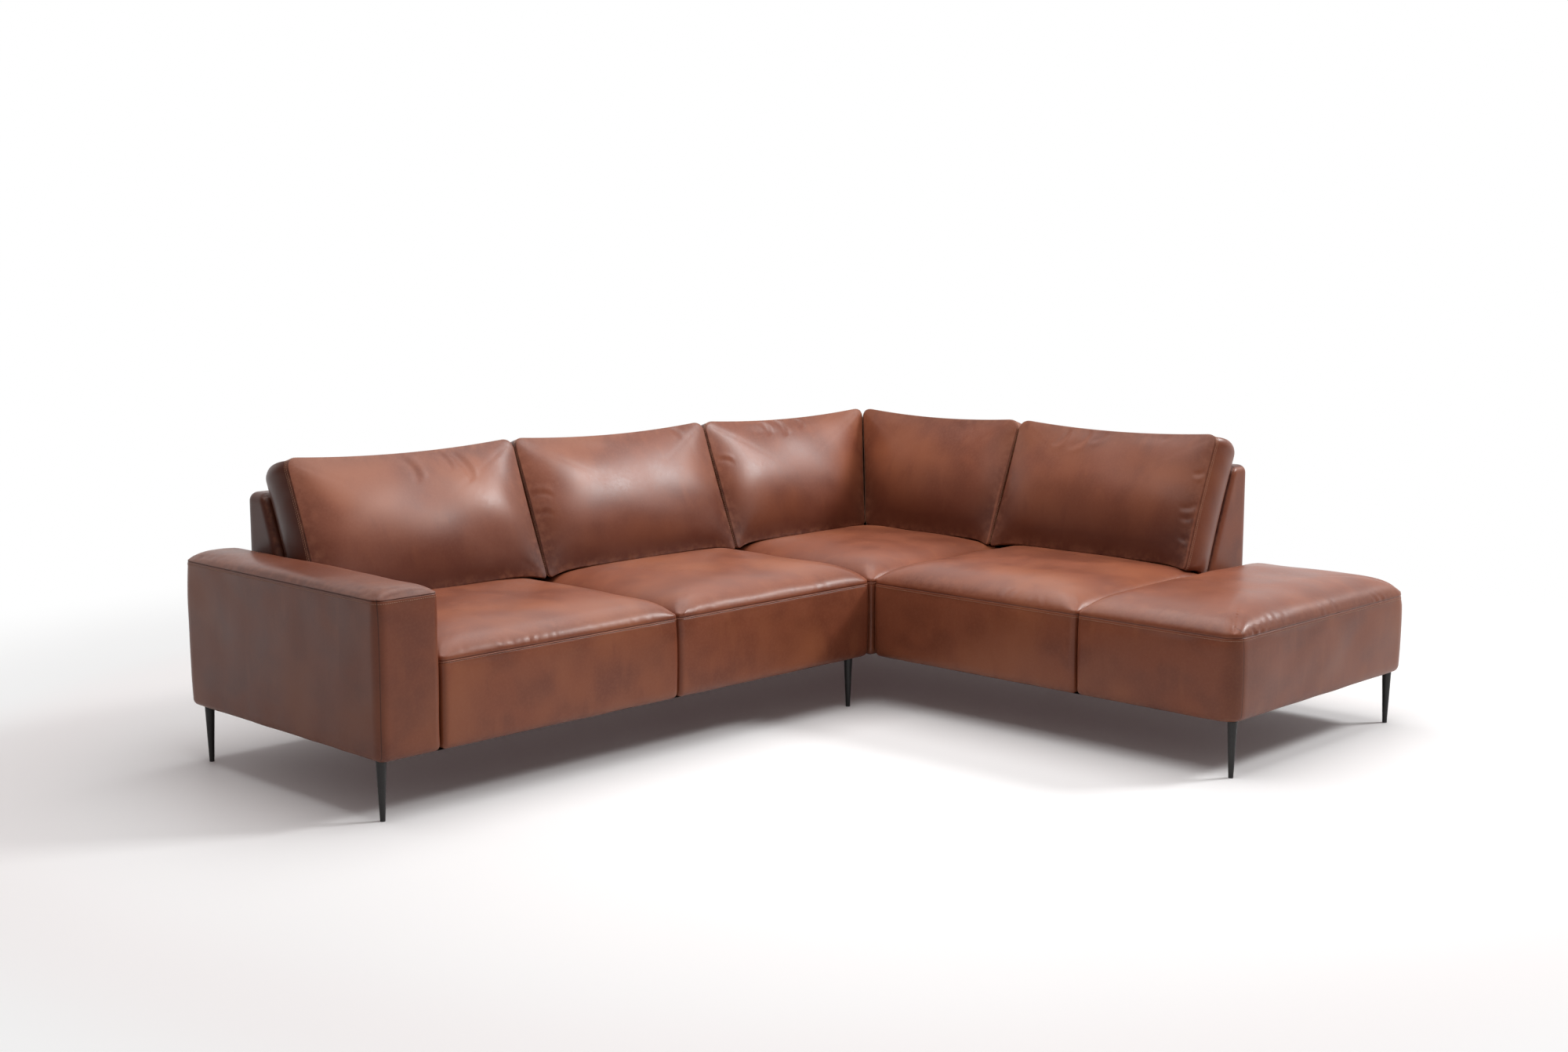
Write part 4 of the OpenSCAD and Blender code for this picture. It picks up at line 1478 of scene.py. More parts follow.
@dataclass
class BackCushion(SewnPiece):
    """A loose back cushion: two panels sewn to a boxing band, leaning on its backrest.

    Attributes:
        ends: For each end, its place along the wing and its change with depth.
        room: How far each end may swell.
        sag: How far each bottom corner sinks between two seats.
        folds: Creases in its front panel.
    """

    ends: Ends
    room: tuple[float, float]
    sag: tuple[float, float]
    folds: tuple[Fold, ...] = ()

    FILL = 0.75
    #: Length of a face of its panels, and the fewest along a side.
    CELL, FEWEST = 0.0095, 18
    #: Power of its crowns, and share of the half width at which the panels' grids end.
    POWER, LAST = 3.0, 0.9975
    #: Height of the front panel's crown that rises at its seam, and of the one spread over the panel.
    EDGE_CROWN, FULL_CROWN = 0.012, 0.028
    #: Where up the panel its belly is, from -1 to 1, and how soft the turn there is.
    BELLY = (-0.15, 0.35)
    #: How far its top swells, and the depth to which its bottom corners sink.
    RIM, SUNK_DEPTH = 0.004, 0.060
    #: Height of the small gathers along its front seam, and how uneven its filling and its band are.
    PUCKER, UNEVEN = 0.0001, (0.0016, 0.0009)
    #: How near the seam and how far from it the gathers reach, and the range of their waves.
    FLUSH, REACH, GATHERS = 0.005, 0.026, (0.020, 0.055)
    #: Depth and inset, in millimetres, of each row of the boxing from the front panel to the rear one.
    ROWS = (
        (-2.0, 1.2), (-1.1, 0.5), (-0.5, 1.2), (0.0, 2.6), (0.8, 1.4), (1.8, -0.2), (3.6, -0.6), (5.4, -0.1),
        (8.4, 0.0), (12, 0.0), (20, 0.0), (30, 0.0), (41, 0.0), (52, 0.0), (63, 0.0), (74, 0.0), (85, 0.0),
        (96, 0.0), (106, 0.0), (114, 0.0), (117.6, 0.0), (120.6, -0.1), (122.4, -0.6), (124.2, -0.2),
        (125.2, 1.4), (126.0, 2.6), (126.5, 1.2), (127.0, 1.2),
    )
    #: The row in the front seam, and the rows with stitches.
    SEAM_ROW, STITCH_ROWS = 3, (6, 8)

    @property
    def body(self) -> str:
        """Body that it rides on."""
        return self.name

    @property
    def half(self) -> np.ndarray:
        """Half of its front panel's two sides."""
        return np.array([(self.ends[1][0] - self.ends[0][0]) / 2, PLAN.cushion_height / 2])

    @property
    def rows(self) -> int:
        """Rows of faces of its boxing."""
        return len(self.ROWS) - 1

    def shape(self, unit: np.ndarray) -> np.ndarray:
        """Turns the unit block into the cushion.

        Args:
            unit: The block's vertices.

        Returns:
            Where they go on the cushion's own sloping axes.
        """
        steps, powers, last = unit[:, :2] * 2 - 1, (self.POWER,) * 2, (self.LAST,) * 2
        share = even_shares(steps, self.half, PLAN.front_bulge, powers, last)
        depth, inset = np.array(self.ROWS)[self.row_of(unit)].T * MM
        belly = np.clip(1 - ((depth / PLAN.cushion_thick) * 2 - 1) ** 2, 0, 1) ** 0.8
        way = share / np.maximum(np.abs(share).max(1), 1e-9)[:, None]
        swells = np.stack([way[:, 0] <= -1 + 1e-6, way[:, 0] >= 1 - 1e-6, way[:, 1] >= 1 - 1e-6], 1)
        inset = inset - belly * (swells * np.array([*self.room, self.RIM])).max(1)
        radii = (PLAN.cushion_foot_round,) * 2 + (PLAN.cushion_top_round,) * 2
        p = rounded_plan(share / self.LAST, self.half, radii, inset)[0] / (2 * self.half) + 0.5
        across, up = share.T
        rise = crown_share(across, self.POWER) * crown_share(up, self.POWER)
        grid = np.abs(unit[:, 2] - 0.5) > 0.4999
        front = unit[:, 2] > 0.5
        middle, turn = self.BELLY
        above, below = (1 - up) / (1 - middle), (1 + up) / (1 + middle)
        spread = np.clip((above + below - np.sqrt((above - below) ** 2 + turn**2)) / 2, 0, 1)
        spread *= np.clip(1 - across**6, 0, 1)
        full = self.EDGE_CROWN * rise + self.FULL_CROWN * spread
        y = np.where(grid & front, -np.maximum(2 * MM, full), depth)
        y = np.where(grid & ~front, PLAN.cushion_thick + np.maximum(1 * MM, PLAN.rear_bulge * rise), y)
        return self.laid(p, y)

    def laid(self, p: np.ndarray, y: np.ndarray) -> np.ndarray:
        """Places points of the cushion.

        Args:
            p: Shares along and up it, one row each.
            y: Depths into it.

        Returns:
            The points on its own axes.
        """
        along, up = p.T
        z = PLAN.cushion_height * up - PLAN.top_dip * up**2 * 4 * along * (1 - along)
        z -= self.sunk(along, up, y)
        low, high = self.limits(y, z)
        draw = PLAN.side_dip * 4 * up * (1 - up)
        return np.stack([low + draw + (high - low - 2 * draw) * along, y, z], 1)

    def sunk(self, along: np.ndarray, up: np.ndarray | float, y: np.ndarray) -> np.ndarray:
        """Works out how far points sink where the cushion rests between two seats.

        Args:
            along: Shares along it.
            up: Shares up it.
            y: Depths into it.

        Returns:
            How far each point sinks.
        """
        out = 2 * along - 1
        depth = np.where(out < 0, *self.sag) * np.clip(1 - y / self.SUNK_DEPTH, 0, 1) ** 1.5
        return depth * np.clip(np.abs(out) * 2.5 - 1.5, 0, 1) ** 3 * np.clip(1 - up, 0, 1) ** 3

    def limits(self, y: np.ndarray, z: np.ndarray) -> tuple[np.ndarray, np.ndarray]:
        """Where the two ends are at a depth and height on the cushion's own axes."""
        return ends_at(self.ends, y * math.cos(PLAN.lean) + z * math.sin(PLAN.lean))

    def confine(self, piece: bpy.types.Object) -> None:
        """Keeps the cushion off its seat, its backrest and its neighbours.

        Args:
            piece: The cushion, on its own axes.
        """
        points = Bench.points(piece)
        points[:, 1] = np.minimum(points[:, 1], PLAN.cushion_thick + PLAN.rear_bulge)
        low, high = self.limits(points[:, 1], points[:, 2])
        floor = 0.3 * MM - self.sunk((points[:, 0] - low) / (high - low), 0.0, points[:, 1])
        points[:, 2] = np.maximum(points[:, 2], floor)
        points[:, 0] = np.clip(points[:, 0], low - self.room[0], high + self.room[1])
        Bench.move(piece, points)

    def gather(self, piece: bpy.types.Object, unit: np.ndarray) -> None:
        """Adds the gathers along the seams, the folds and the unevenness of the filling.

        Args:
            piece: The cushion, on its own axes.
            unit: Where each of its vertices was in the unit block.
        """
        points, normals = Bench.points(piece), Bench.normals(piece)
        steps = unit[:, :2] * 2 - 1
        run = along_edge(steps, self.half)
        front = unit[:, 2] > 0.999
        inward = self.inward(unit)
        near = bell(inward, self.REACH) * (1 - bell(inward, self.FLUSH))
        crowd = np.clip(1.9 * ripple(run, self.seed + 11, (0.14, 0.40), 5) - 0.9, 0, 1.5)
        lift = self.PUCKER * near * ripple(run, self.seed, self.GATHERS) * (0.12 + crowd) * front
        for fold in self.folds:
            lift += fold.height(steps, self.half) * front
        uneven = self.UNEVEN[0] * swell(points, self.seed + 3, 0.24)
        lift += uneven * (1 - near) * front * np.clip(inward / 0.05, 0, 1)
        band = np.clip(1 - np.abs(unit[:, 2] - 0.5) / 0.28, 0, 1)
        lift += self.UNEVEN[1] * ripple(run, self.seed + 5, (0.05, 0.12)) * band
        Bench.move(piece, points + normals * lift[:, None])

    def held(self, unit: np.ndarray, points: np.ndarray) -> np.ndarray:
        """Picks the vertices that the stuffing's simulation holds: on the seams and underneath.

        Args:
            unit: Where each vertex was in the unit block.
            points: Where each is on the cushion's own axes.

        Returns:
            Whether each is held.
        """
        level = self.level(unit)
        seam = ((level > 0.5) & (level < 8.5)) | ((level > self.rows - 7.5) & (level < self.rows - 0.5))
        under = (points[:, 2] < 1.5 * MM) & (points[:, 1] > 0)
        return seam | under

    def both_seams(self, unit: np.ndarray, row: float, rear_row: float, width: float) -> np.ndarray:
        """Works out how near each vertex is to a row by the front seam or one by the rear seam.

        Args:
            unit: Where each vertex was in the unit block.
            row: The row by the front seam.
            rear_row: The row by the rear seam, counted from behind.
            width: Width in rows of the bell curve round them.

        Returns:
            Up to 1 for each vertex.
        """
        level = self.level(unit)
        return bell(level - row, width) + bell(level - self.rows + rear_row, width)

    def marks(self, unit: np.ndarray) -> dict[str, np.ndarray]:
        """Works out how rubbed, how deep in a seam and how much painted shade each vertex is given.

        Args:
            unit: Where each vertex was in the unit block.

        Returns:
            From 0 to 1 for each vertex, under each mark's name.
        """
        # Painted shade: darker towards the bottom of the front panel, on the boxing band and near the front
        # panel's edge. On the right wing the end at unit X 1 gets none of the lower and band shade, because
        # the last cushion's open end is lit.
        low = np.clip((0.62 - unit[:, 1]) / 0.5, 0, 1)
        ends = np.clip((0.5 - np.abs(unit[:, 2] - 0.5)) * 4, 0, 1)
        if self.wing is Wing.RIGHT:
            low, ends = (part * (unit[:, 0] < 0.99) for part in (low, ends))
        else:
            low = 0.78 * low
        inward = self.inward(unit)
        rim = bell(inward, 0.02) * (self.level(unit) < 0.5) * 0.7
        return {
            "wear": np.clip(self.both_seams(unit, 5, 5, 3.0) + rim, 0, 1),
            "seam": np.clip(self.both_seams(unit, self.SEAM_ROW, self.SEAM_ROW - 1, 0.9), 0, 1),
            "shade": np.clip(low + 0.8 * ends + 0.3 * bell(inward, 0.045), 0, 1),
        }

    def stood(self, points: np.ndarray) -> np.ndarray:
        """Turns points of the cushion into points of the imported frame.

        Args:
            points: Points on its own axes, one row each.

        Returns:
            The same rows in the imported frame.
        """
        x, y, z = points.T
        cos, sin = math.cos(PLAN.lean), math.sin(PLAN.lean)
        start = PLAN.left_cushion_y if self.wing is Wing.LEFT else PLAN.right_cushion_y
        y, z = start + y * cos + z * sin, PLAN.cushion_z - y * sin + z * cos
        return self.wing.place(np.stack([x, y, z], 1))

    def cut_zip(self, piece: bpy.types.Object) -> None:
        """Cuts the slot for the zip into the underside.

        Args:
            piece: The cushion, on its own axes.
        """
        middle = sum(ends_at(self.ends, PLAN.cushion_thick / 2 * math.cos(PLAN.lean))) / 2
        start = middle - PLAN.zip_length / 2
        near, far = ((PLAN.cushion_thick + side * PLAN.zip_width) / 2 for side in (-1, 1))
        low = Vector((start, near, -20 * MM))
        Bench.cut(piece, low, Vector((start + PLAN.zip_length, far, PLAN.zip_depth)))

    def build(self, leather: bpy.types.Material, thread: bpy.types.Material) -> None:
        """Builds, stuffs and dresses the cushion and its stitching.

        Args:
            leather: The cushion's finish.
            thread: The stitching's finish.
        """
        piece = self.block(self.CELL, self.FEWEST)
        unit = Bench.points(piece)
        Bench.move(piece, self.shape(unit))
        Stuffing().puff(piece, self.held(unit, Bench.points(piece)))
        unit = Bench.divide(piece, unit)
        self.gather(piece, unit)
        self.confine(piece)
        Bench.mark(piece, **self.marks(unit))
        rows = [self.row(piece, unit, level) for level in self.STITCH_ROWS]
        self.cut_zip(piece)
        self.dress(piece, leather)
        self.sew(rows, thread)


@dataclass
class Backrest(SofaPiece):
    """The cover of a length of backrest: upright behind, sloping in front above its knee.

    Attributes:
        ends: For each end, its place along the wing and its change with depth.
        soft: Whether each end has rounded edges, or is cut flat where it meets the next piece.
    """

    ends: Ends
    soft: tuple[bool, bool] = (True, True)

    FILL = 0.9
    #: Length of a face along it, faces up it, rows through it, and how uneven its padding is.
    CELL, UP, THROUGH, UNEVEN = 0.013, 46, 18, 0.0012

    @property
    def depth(self) -> float:
        """Depth of its wing."""
        return PLAN.left_depth if self.wing is Wing.LEFT else PLAN.right_depth

    def length(self, y: np.ndarray | float) -> np.ndarray | float:
        """Length of the backrest at a depth."""
        return self.ends[1][0] - self.ends[0][0] + (self.ends[1][1] - self.ends[0][1]) * y

    @staticmethod
    def packed(step: np.ndarray, size: np.ndarray | float) -> np.ndarray:
        """Crowds grid lines into the rounded edges."""
        return (0.45 * step + 0.55 * (0.5 - 0.5 * np.cos(math.pi * step))) * size

    def shape(self, unit: np.ndarray) -> np.ndarray:
        """Turns the unit block into the cover.

        Args:
            unit: The block's vertices.

        Returns:
            Where they go in the wing.
        """
        radius = PLAN.back_edge
        height = PLAN.back_top - PLAN.base
        z = self.packed(unit[:, 1], height)
        above = np.maximum(0, PLAN.back_top - np.maximum(PLAN.knee, PLAN.base + z))
        thick = PLAN.back_top_thick + above * math.tan(PLAN.lean)
        y = self.packed(1 - unit[:, 2], 1.0) * thick
        length = self.length(self.depth - thick + y)
        x = self.packed(unit[:, 0], 1.0) * length
        box = np.stack([x, y, z], 1)
        low = np.full_like(box, radius)
        high = np.stack([length, thick, np.full_like(x, height)], 1) - radius
        low[:, 0] = radius if self.soft[0] else -1
        high[:, 0] = length - radius if self.soft[1] else 9
        inner = np.clip(box, low, high)
        out = box - inner
        far = np.linalg.norm(out, axis=1)
        box = inner + out * np.where(far > 1e-9, radius / np.maximum(far, 1e-9), 0)[:, None]
        y = self.depth - thick + box[:, 1]
        start, end = ends_at(self.ends, y)
        place = np.stack([start + (end - start) * box[:, 0] / length, y, PLAN.base + box[:, 2]], 1)
        return place if all(self.soft) else self.round_corner(place)

    def round_corner(self, points: np.ndarray) -> np.ndarray:
        """Rounds the upright outer edge where the two wings meet.

        Args:
            points: Points in the wing, one row each, which are changed in place.

        Returns:
            The same points.
        """
        middle = np.array([PLAN.total_x, PLAN.left_depth]) - PLAN.corner_round
        way = np.array([1.0, 1.0])
        if self.wing is Wing.RIGHT:
            middle = np.array([-middle[1], middle[0] - PLAN.corner_x])
            way = np.array([-1.0, 1.0])
        off = (points[:, :2] - middle) * way
        inside = (off > 0).all(1)
        far = np.linalg.norm(off, axis=1)
        scale = np.where(inside, off.max(1) / np.maximum(far, 1e-9), 1.0)
        points[:, :2] = middle + off * scale[:, None] * way
        return points

    def build(self, leather: bpy.types.Material) -> None:
        """Builds and dresses the cover.

        Args:
            leather: Its finish.
        """
        along = int(round(self.length(self.depth) / self.CELL))
        piece = Bench.block(self.name, (along, self.UP), self.THROUGH)
        unit = Bench.points(piece)
        Bench.move(piece, self.shape(unit))
        points, normals = Bench.points(piece), Bench.normals(piece)
        edge = np.minimum(unit, 1 - unit)
        panel, through = edge[:, :2].min(1), edge[:, 2]
        flat = np.abs(unit[:, 2] - 0.5) > 0.499
        padding = 0.5 + 0.5 * swell(points, self.seed, 0.18)
        lift = -self.UNEVEN * padding * flat * np.clip(panel / 0.06, 0, 1)
        Bench.move(piece, points + normals * lift[:, None])
        # Painted shade over the whole backrest, lifted at the open end of the right one, where it is lit, but
        # not on its front face.
        open_end = self.wing is Wing.RIGHT and all(self.soft)
        behind = np.clip((1 - unit[:, 2]) / 0.06, 0, 1)
        Bench.mark(
            piece, wear=np.clip(bell(through, 0.12) * bell(panel, 0.02), 0, 1), seam=np.zeros(len(unit)),
            shade=1.0 - open_end * behind * np.clip((unit[:, 0] - 0.97) / 0.03, 0, 1),
        )
        self.dress(piece, leather)


def list_seats() -> list[PaddedSeat]:
    """Lists the arm and the seats.

    Returns:
        Their covers, along the left wing and then along the right one.
    """
    plan, g = PLAN, PLAN.gap / 2
    left_rear = plan.left_depth - plan.back_base_thick - g
    right_rear = plan.right_depth - plan.back_base_thick - g
    edge, nose, end_edge, arm_edge = 0.016, 0.030, 0.055, 0.026
    left, right = Wing.LEFT, Wing.RIGHT
    cushion_y, cushion_x = plan.left_cushion_y, plan.corner_x + plan.right_cushion_y
    middle = plan.arm_width + plan.left_seat
    return [
        # The arm's shade mark paints shade over its top, and less over its band.
        PaddedSeat(
            "arm", left, (0, 0), (plan.arm_width - g, plan.left_depth),
            (arm_edge, edge, arm_edge, arm_edge), (0.003, 0, 0.003, 0.003),
            seam=plan.arm_seam, crown=plan.arm_crown, pucker=0.0003, seed=21, welted=False,
            powers=(4.0, 40.0), shade=0.6,
        ),
        PaddedSeat(
            "seat_1", left, (plan.arm_width + g, 0), (middle - g, left_rear),
            (edge,) * 4, (0.004, 0, 0, 0), (cushion_y, None), seed=31,
            folds=creases(
                (-0.46, -0.995, -0.52, -0.89, 0.007, 0.0017), (-0.41, -0.995, -0.45, -0.88, 0.007, 0.0018),
                (0.22, -0.995, 0.25, -0.93, 0.007, 0.001), (-0.80, -0.99, -0.77, -0.92, 0.008, 0.001),
            ),
        ),
        PaddedSeat(
            "seat_2", left, (middle + g, 0), (plan.corner_x - g, left_rear),
            (edge, nose, edge, edge), (0.004, 0.001, 0, 0), (cushion_y, None), seed=47,
            folds=creases(
                (-0.62, -0.995, -0.66, -0.90, 0.008, 0.0012), (0.42, -0.995, 0.38, -0.93, 0.007, 0.0011),
                (0.52, -0.995, 0.47, -0.92, 0.007, 0.0013),
            ),
        ),
        PaddedSeat(
            "corner_seat", left, (plan.corner_x + g, g), (plan.corner_x + right_rear, left_rear),
            (edge,) * 4, (0, 0, 0, 0), (cushion_y, cushion_x), seed=53,
        ),
        PaddedSeat(
            "seat_3", right, (g, 0), (plan.right_seat - g, right_rear), (nose, edge, edge, edge),
            (0.004, 0, 0, 0.001), (plan.right_cushion_y, None), seed=61, welted=False, groove=0.3,
            folds=creases(
                (0.28, -0.995, 0.36, -0.88, 0.008, 0.0018), (0.36, -0.995, 0.44, -0.90, 0.007, 0.0016),
                (0.46, -0.995, 0.52, -0.91, 0.007, 0.0012), (-0.70, -0.995, -0.66, -0.92, 0.008, 0.001),
            ),
        ),
        PaddedSeat(
            "end_seat", right, (plan.right_seat + g, 0), (plan.right_reach, plan.right_depth),
            (edge, end_edge, end_edge, edge), (0.004, 0.004, 0.004, 0), seed=73, welted=False, groove=0.3,
            folds=creases(
                (0.995, -0.62, 0.86, -0.58, 0.008, 0.0015), (0.995, -0.54, 0.84, -0.51, 0.007, 0.0016),
                (0.995, -0.44, 0.87, -0.42, 0.007, 0.0012), (0.995, 0.10, 0.88, 0.12, 0.008, 0.0011),
                (0.10, -0.995, 0.04, -0.95, 0.009, 0.001),
            ),
        ),
    ]


def list_backs() -> list[Backrest]:
    """Lists the lengths of backrest.

    Returns:
        Their covers from the arm to the open end.
    """
    plan, g = PLAN, PLAN.gap / 2
    left, right = Wing.LEFT, Wing.RIGHT
    start, cut = plan.mitre_x - plan.corner_x, 0.0003
    corner_ends = ((plan.corner_x + g, 0), (plan.mitre_x - cut, 1))
    return [
        Backrest(
            "left_back", left, ((plan.arm_width + plan.back_inset_left, 0), (plan.corner_x - g, 0)), seed=81
        ),
        Backrest(
            "corner_back_left", left, corner_ends, (True, False), node="corner_back_cover_left", seed=83
        ),
        Backrest(
            "corner_back_right", right, ((start + cut, -1), (-g, 0)), (False, True),
            node="corner_back_cover_right", seed=87,
        ),
        Backrest("right_back", right, ((g, 0), (plan.right_seat - plan.back_inset_right, 0)), seed=89),
    ]


def list_cushions() -> list[BackCushion]:
    """Lists the back cushions.

    Returns:
        The cushions from the arm to the open end.
    """
    plan, g = PLAN, PLAN.cushion_gap / 2
    left, right = Wing.LEFT, Wing.RIGHT
    middle = plan.arm_width + plan.left_seat
    joint = plan.corner_x - plan.joint_shift
    mitre_end = plan.mitre_x + plan.left_cushion_y - plan.mitre_gap
    last = plan.right_seat - plan.back_inset_right - plan.gap / 2
    close, free, mitre, sunk, last_sunk = 0.0022, 0.016, 0.0008, 0.024, 0.018
    return [
        BackCushion(
            "back_cushion_1", left, ((plan.arm_width + plan.arm_to_cushion, 0), (middle - g, 0)),
            (free, close), (0, sunk), seed=101,
            folds=creases(
                (-0.08, 0.94, 0.02, 0.50, 0.015, 0.0021), (0.36, 0.92, 0.50, 0.44, 0.016, 0.0024),
                (0.26, 0.95, 0.34, 0.62, 0.012, 0.0018), (-0.99, -0.72, -0.88, -0.62, 0.008, 0.0013),
            ),
        ),
        BackCushion(
            "back_cushion_2", left, ((middle + g, 0), (joint - g, 0)), (close, close), (sunk, sunk), seed=113,
            folds=creases(
                (-0.99, 0.12, -0.80, 0.06, 0.009, 0.0012), (-0.99, -0.14, -0.84, -0.20, 0.008, 0.0011),
                (0.62, 0.98, 0.70, 0.78, 0.011, 0.0011),
            ),
        ),
        BackCushion(
            "back_cushion_3", left, ((joint + g, 0), (mitre_end, 1)), (close, mitre),
            (sunk, 0), seed=127,
            folds=creases(
                (-0.34, 0.98, -0.26, 0.70, 0.011, 0.0017), (-0.16, 0.99, -0.06, 0.66, 0.012, 0.002),
                (0.10, 0.98, 0.16, 0.76, 0.01, 0.0015), (-0.98, 0.34, -0.80, 0.26, 0.009, 0.0012),
            ),
        ),
        BackCushion(
            "back_cushion_4", right,
            ((plan.mitre_gap - plan.left_cushion_y, -1), (-plan.cushion_shift - g, 0)),
            (mitre, close), (0, sunk), seed=131,
            folds=creases(
                (0.26, 0.96, 0.33, 0.60, 0.014, 0.0012), (0.44, 0.90, 0.50, 0.54, 0.013, 0.001),
            ),
        ),
        BackCushion(
            "back_cushion_5", right, ((g - plan.cushion_shift, 0), (last, 0)), (close, free),
            (sunk, last_sunk), seed=149,
            folds=creases(
                (-0.44, 0.97, -0.56, 0.62, 0.011, 0.0022), (-0.22, 0.98, -0.38, 0.60, 0.012, 0.0024),
                (-0.05, 0.98, -0.20, 0.76, 0.01, 0.0018), (0.56, 0.985, 0.50, 0.86, 0.009, 0.0012),
                (0.985, 0.42, 0.88, 0.36, 0.009, 0.0015), (0.985, -0.06, 0.84, -0.16, 0.01, 0.0019),
                (0.98, -0.24, 0.86, -0.30, 0.009, 0.0015), (0.98, -0.58, 0.88, -0.54, 0.009, 0.0013),
            ),
        ),
    ]


@dataclass
class Sofa:
    """The sofa's sub-assemblies in the order in which they are built.

    Attributes:
        seats: The arm and the seats.
        backs: The lengths of backrest.
        cushions: The loose back cushions.
    """

    seats: list[PaddedSeat] = field(default_factory=list_seats)
    backs: list[Backrest] = field(default_factory=list_backs)
    cushions: list[BackCushion] = field(default_factory=list_cushions)

    #: Where the covers with an upright seam have it, in their wings.
    UPRIGHTS = {"arm": (0.0076, 0.016), "end_seat": (PLAN.right_reach - 0.026, 0.041)}

    def build(self, finishes: Finishes) -> None:
        """Builds every cover.

        Args:
            finishes: The finishes.
        """
        for seat in self.seats:
            seat.build(self.leather_for(seat, finishes), finishes.thread)
        for back in self.backs:
            back.build(finishes.leather)
        for cushion in self.cushions:
            cushion.build(finishes.leather, finishes.thread)

    def leather_for(self, seat: PaddedSeat, finishes: Finishes) -> bpy.types.Material:
        """Picks a seat's leather: the arm and the end seat have upright seams.

        Args:
            seat: The arm or a seat.
            finishes: The finishes.

        Returns:
            Its leather.
        """
        if seat.name not in self.UPRIGHTS:
            return finishes.leather
        corner = seat.wing.place(np.array([[*self.UPRIGHTS[seat.name], 0.0]]))[0]
        seam = UprightSeam(float(corner[0]), float(corner[1]))
        return LeatherFinish(f"{seat.name}_leather").make(seam)

    @staticmethod
    def dress_nodes(nodes: dict[str, bpy.types.Object], finishes: Finishes) -> None:
        """Gives each CAD node that stays its finish.

        Args:
            nodes: The CAD nodes by name.
            finishes: The finishes.
        """
        by_ending = {
            ("_frame",): finishes.timber,
            ("_foam", "_pad", "_core"): finishes.foam,
            ("_webbing",): finishes.webbing,
            ("_lining",): finishes.lining,
            ("_zip",): finishes.tape,
            ("_slider",): finishes.slider,
            ("_plates", "_screws", "_inserts"): finishes.steel,
            ("_glides",): finishes.glide,
            ("_cover",): finishes.leather,
        }
        for name, node in nodes.items():
            found = (finish for endings, finish in by_ending.items() if name.endswith(endings))
            node.data.materials.clear()
            node.data.materials.append(next(found, finishes.leg))


@dataclass(frozen=True)
class SoftLamp:
    """A rectangular soft lamp.

    Attributes:
        name: Its name.
        place: Where it hangs.
        aim: The point that it faces.
        size: Its two sides.
        power: Its power in watts.
    """

    name: str
    place: tuple[float, float, float]
    aim: tuple[float, float, float]
    size: tuple[float, float]
    power: float

    def build(self) -> None:
        """Hangs the lamp."""
        data = bpy.data.lights.new(self.name, "AREA")
        data.shape = "RECTANGLE"
        data.size, data.size_y = self.size
        data.energy = self.power
        lamp = bpy.data.objects.new(self.name, data)
        lamp.location = self.place
        lamp.rotation_euler = (Vector(self.aim) - Vector(self.place)).to_track_quat("-Z", "Y").to_euler()
        bpy.context.scene.collection.objects.link(lamp)


@dataclass(frozen=True)
class PhotoCamera:
    """The camera at the photograph's angle.

    Attributes:
        place: Where it stands.
        turn: Its turn about the vertical in degrees.
        tilt: How far it looks down in degrees.
        roll: Its roll in degrees.
        lens: Its focal length in millimetres.
        sensor: Width of its sensor in millimetres.
        clip_end: How far it sees.
    """

    place: tuple[float, float, float] = (-4.214, -3.943, 1.476)
    turn: float = -45.80
    tilt: float = 8.092
    roll: float = 0.027
    lens: float = 44.74
    sensor: float = 36.0
    clip_end: float = 200

    def build(self) -> None:
        """Sets the camera up as the scene's."""
        data = bpy.data.cameras.new("photo_camera")
        data.sensor_fit = "HORIZONTAL"
        data.sensor_width = self.sensor
        data.lens = self.lens
        data.clip_end = self.clip_end
        camera = bpy.data.objects.new("photo_camera", data)
        camera.location = self.place
        camera.rotation_mode = "XYZ"
        camera.rotation_euler = tuple(math.radians(turn) for turn in (90 - self.tilt, self.roll, self.turn))
        bpy.context.scene.collection.objects.link(camera)
        bpy.context.scene.camera = camera


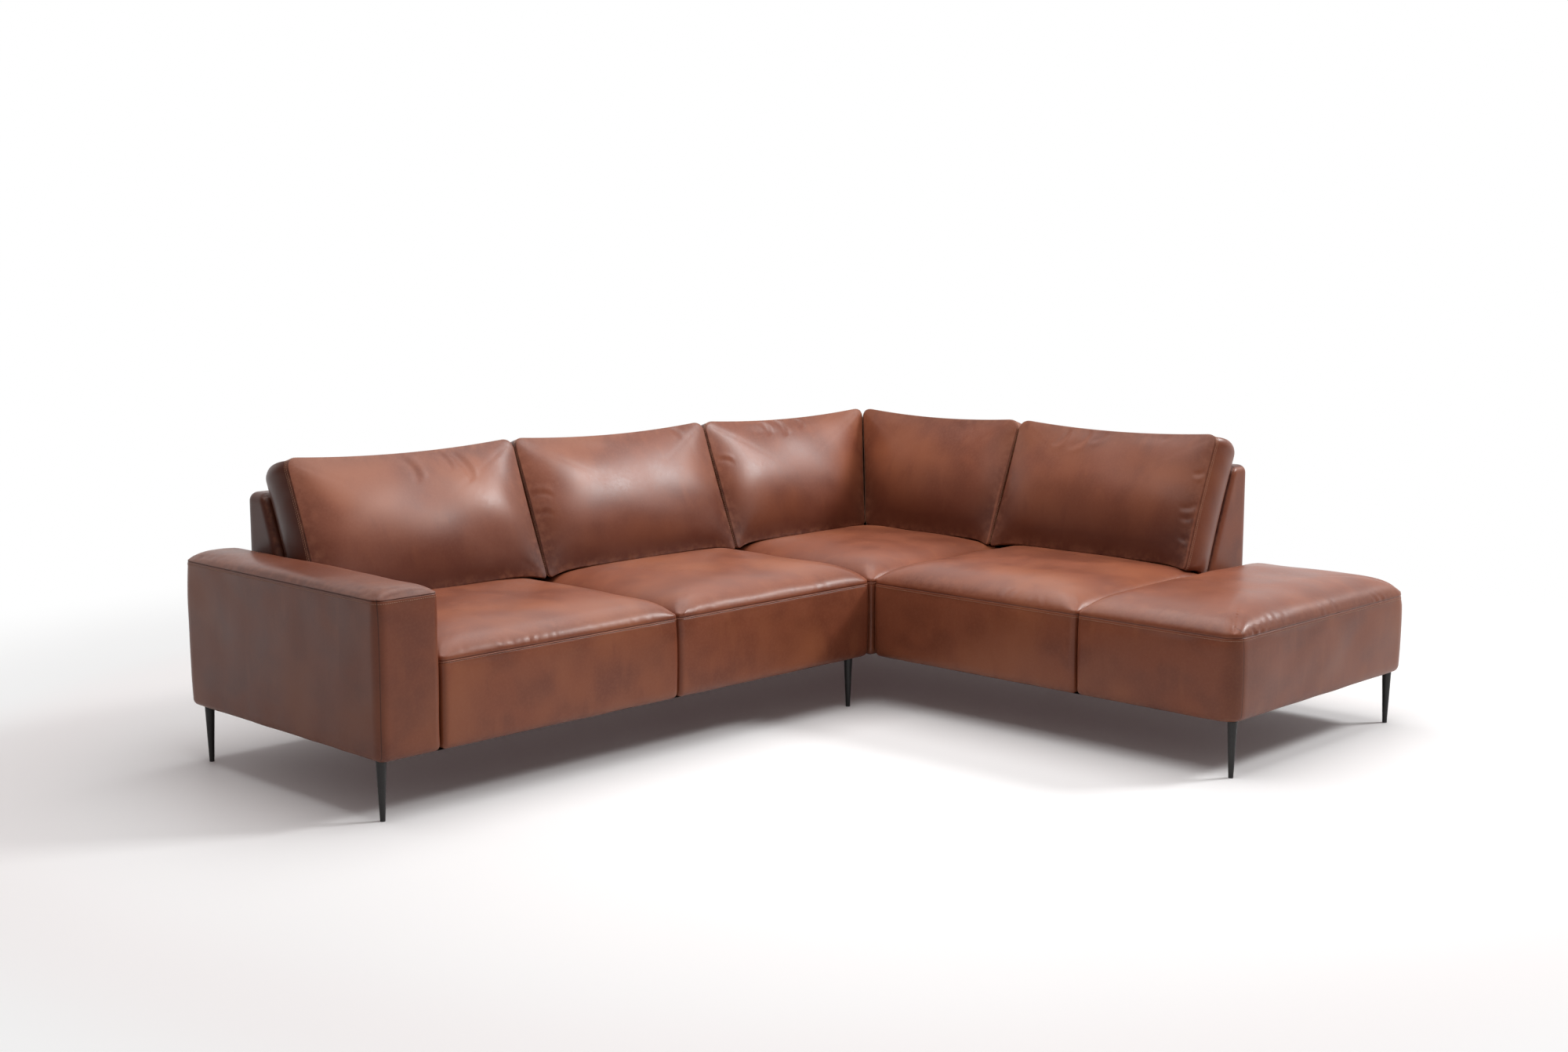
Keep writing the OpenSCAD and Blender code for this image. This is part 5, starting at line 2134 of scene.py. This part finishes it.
@dataclass(frozen=True)
class Studio:
    """Floor, world, lamps and camera, as in the photograph.

    Attributes:
        lamps: The soft lamps.
        camera: The camera.
        floor_side: Side of the floor.
    """

    lamps: tuple[SoftLamp, ...] = (
        SoftLamp("key_softbox", (6.1, -4.3, 5.7), (0.1, 0.2, 0.6), (2.0, 1.5), 422),
        SoftLamp("top_softbox", (0.2, 0.1, 3.6), (0.2, 0.1, 0.0), (4.6, 3.8), 136),
    )
    camera: PhotoCamera = PhotoCamera()
    floor_side: float = 60

    def build(self) -> None:
        """Sets up the studio."""
        self.floor()
        self.world()
        for lamp in self.lamps:
            lamp.build()
        self.camera.build()
        bpy.context.scene.view_settings.view_transform = "Standard"

    def floor(self) -> None:
        """Adds a pale floor that fades to white far from the sofa, with a faint warm glow near the sofa that
        paints bounce light into its shadow.
        """
        Bench.clear()
        bpy.ops.mesh.primitive_grid_add(
            x_subdivisions=8, y_subdivisions=8, size=self.floor_side, location=(0, 0, 0)
        )
        floor = bpy.context.object
        floor.name = "studio_floor"
        board = Board.of("studio_floor")
        place = board.place()
        far = board.node("ShaderNodeVectorMath", {"operation": "LENGTH"}, {0: place}, output="Value")
        dust = board.noise(place, 3.0, 3.0, 0.5)
        seen = board.math("MAXIMUM", board.ray("Camera"), board.ray("Glossy"))
        seen = board.math("MAXIMUM", seen, board.ray("Transmission"))
        tone = board.blend(dust * 0.2, colour(0.97, 0.98, 0.98), colour(0.95, 0.96, 0.96))
        tone = board.blend(seen, colour(0.42, 0.41, 0.40), tone)
        shader = board.shader(Base_Color=tone, Roughness=0.55, Specular_IOR_Level=0.2)
        # A faint warm glow near the sofa paints bounce light into the floor's shadow. Further out the glow
        # turns white.
        painted_bounce_then_white = board.blend(board.ramp(far, 2.0, 2.8), colour(0.90, 0.50, 0.48), colour(1, 1, 1))
        white = board.node("ShaderNodeEmission", {}, {"Color": painted_bounce_then_white, "Strength": 1.0})
        share = (board.ramp(far, 2.0, 4.0) * 0.955 + 0.045) * seen
        mixed = board.node("ShaderNodeMixShader", {}, {0: share, 1: shader, 2: white})
        board.node("ShaderNodeOutputMaterial", {}, {"Surface": mixed})
        floor.data.materials.append(board.material)

    @staticmethod
    def world() -> None:
        """Lights the sofa softly all round and shows white behind it."""
        world = bpy.data.worlds.new("studio_world")
        world.use_nodes = True
        bpy.context.scene.world = world
        board = Board(world.node_tree)
        behind = board.node(
            "ShaderNodeVectorMath", {"operation": "DOT_PRODUCT"}, {0: board.place(), 1: (0.70, 0.71, 0.0)},
            output="Value",
        )
        seen = board.math("MAXIMUM", board.ray("Glossy"), board.ray("Transmission"))
        seen = board.math("MAXIMUM", board.ray("Camera"), seen * board.ramp(behind, -0.05, 0.30))
        soft = board.node("ShaderNodeBackground", {}, {"Color": colour(1.0, 0.94, 0.93), "Strength": 0.26})
        white = board.node("ShaderNodeBackground", {}, {"Color": colour(1, 1, 1), "Strength": 1.0})
        mixed = board.node("ShaderNodeMixShader", {}, {0: seen, 1: soft, 2: white})
        board.node("ShaderNodeOutputWorld", {}, {"Surface": mixed})


def main() -> None:
    """Builds the sofa's looks and its studio."""
    logging.basicConfig(level=logging.INFO, format="%(name)s %(message)s")
    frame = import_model()
    Studio().build()
    finishes = Finishes.make()
    sofa = Sofa()
    sofa.dress_nodes(frame["nodes"], finishes)
    sofa.build(finishes)


if __name__ == "__main__":
    main()
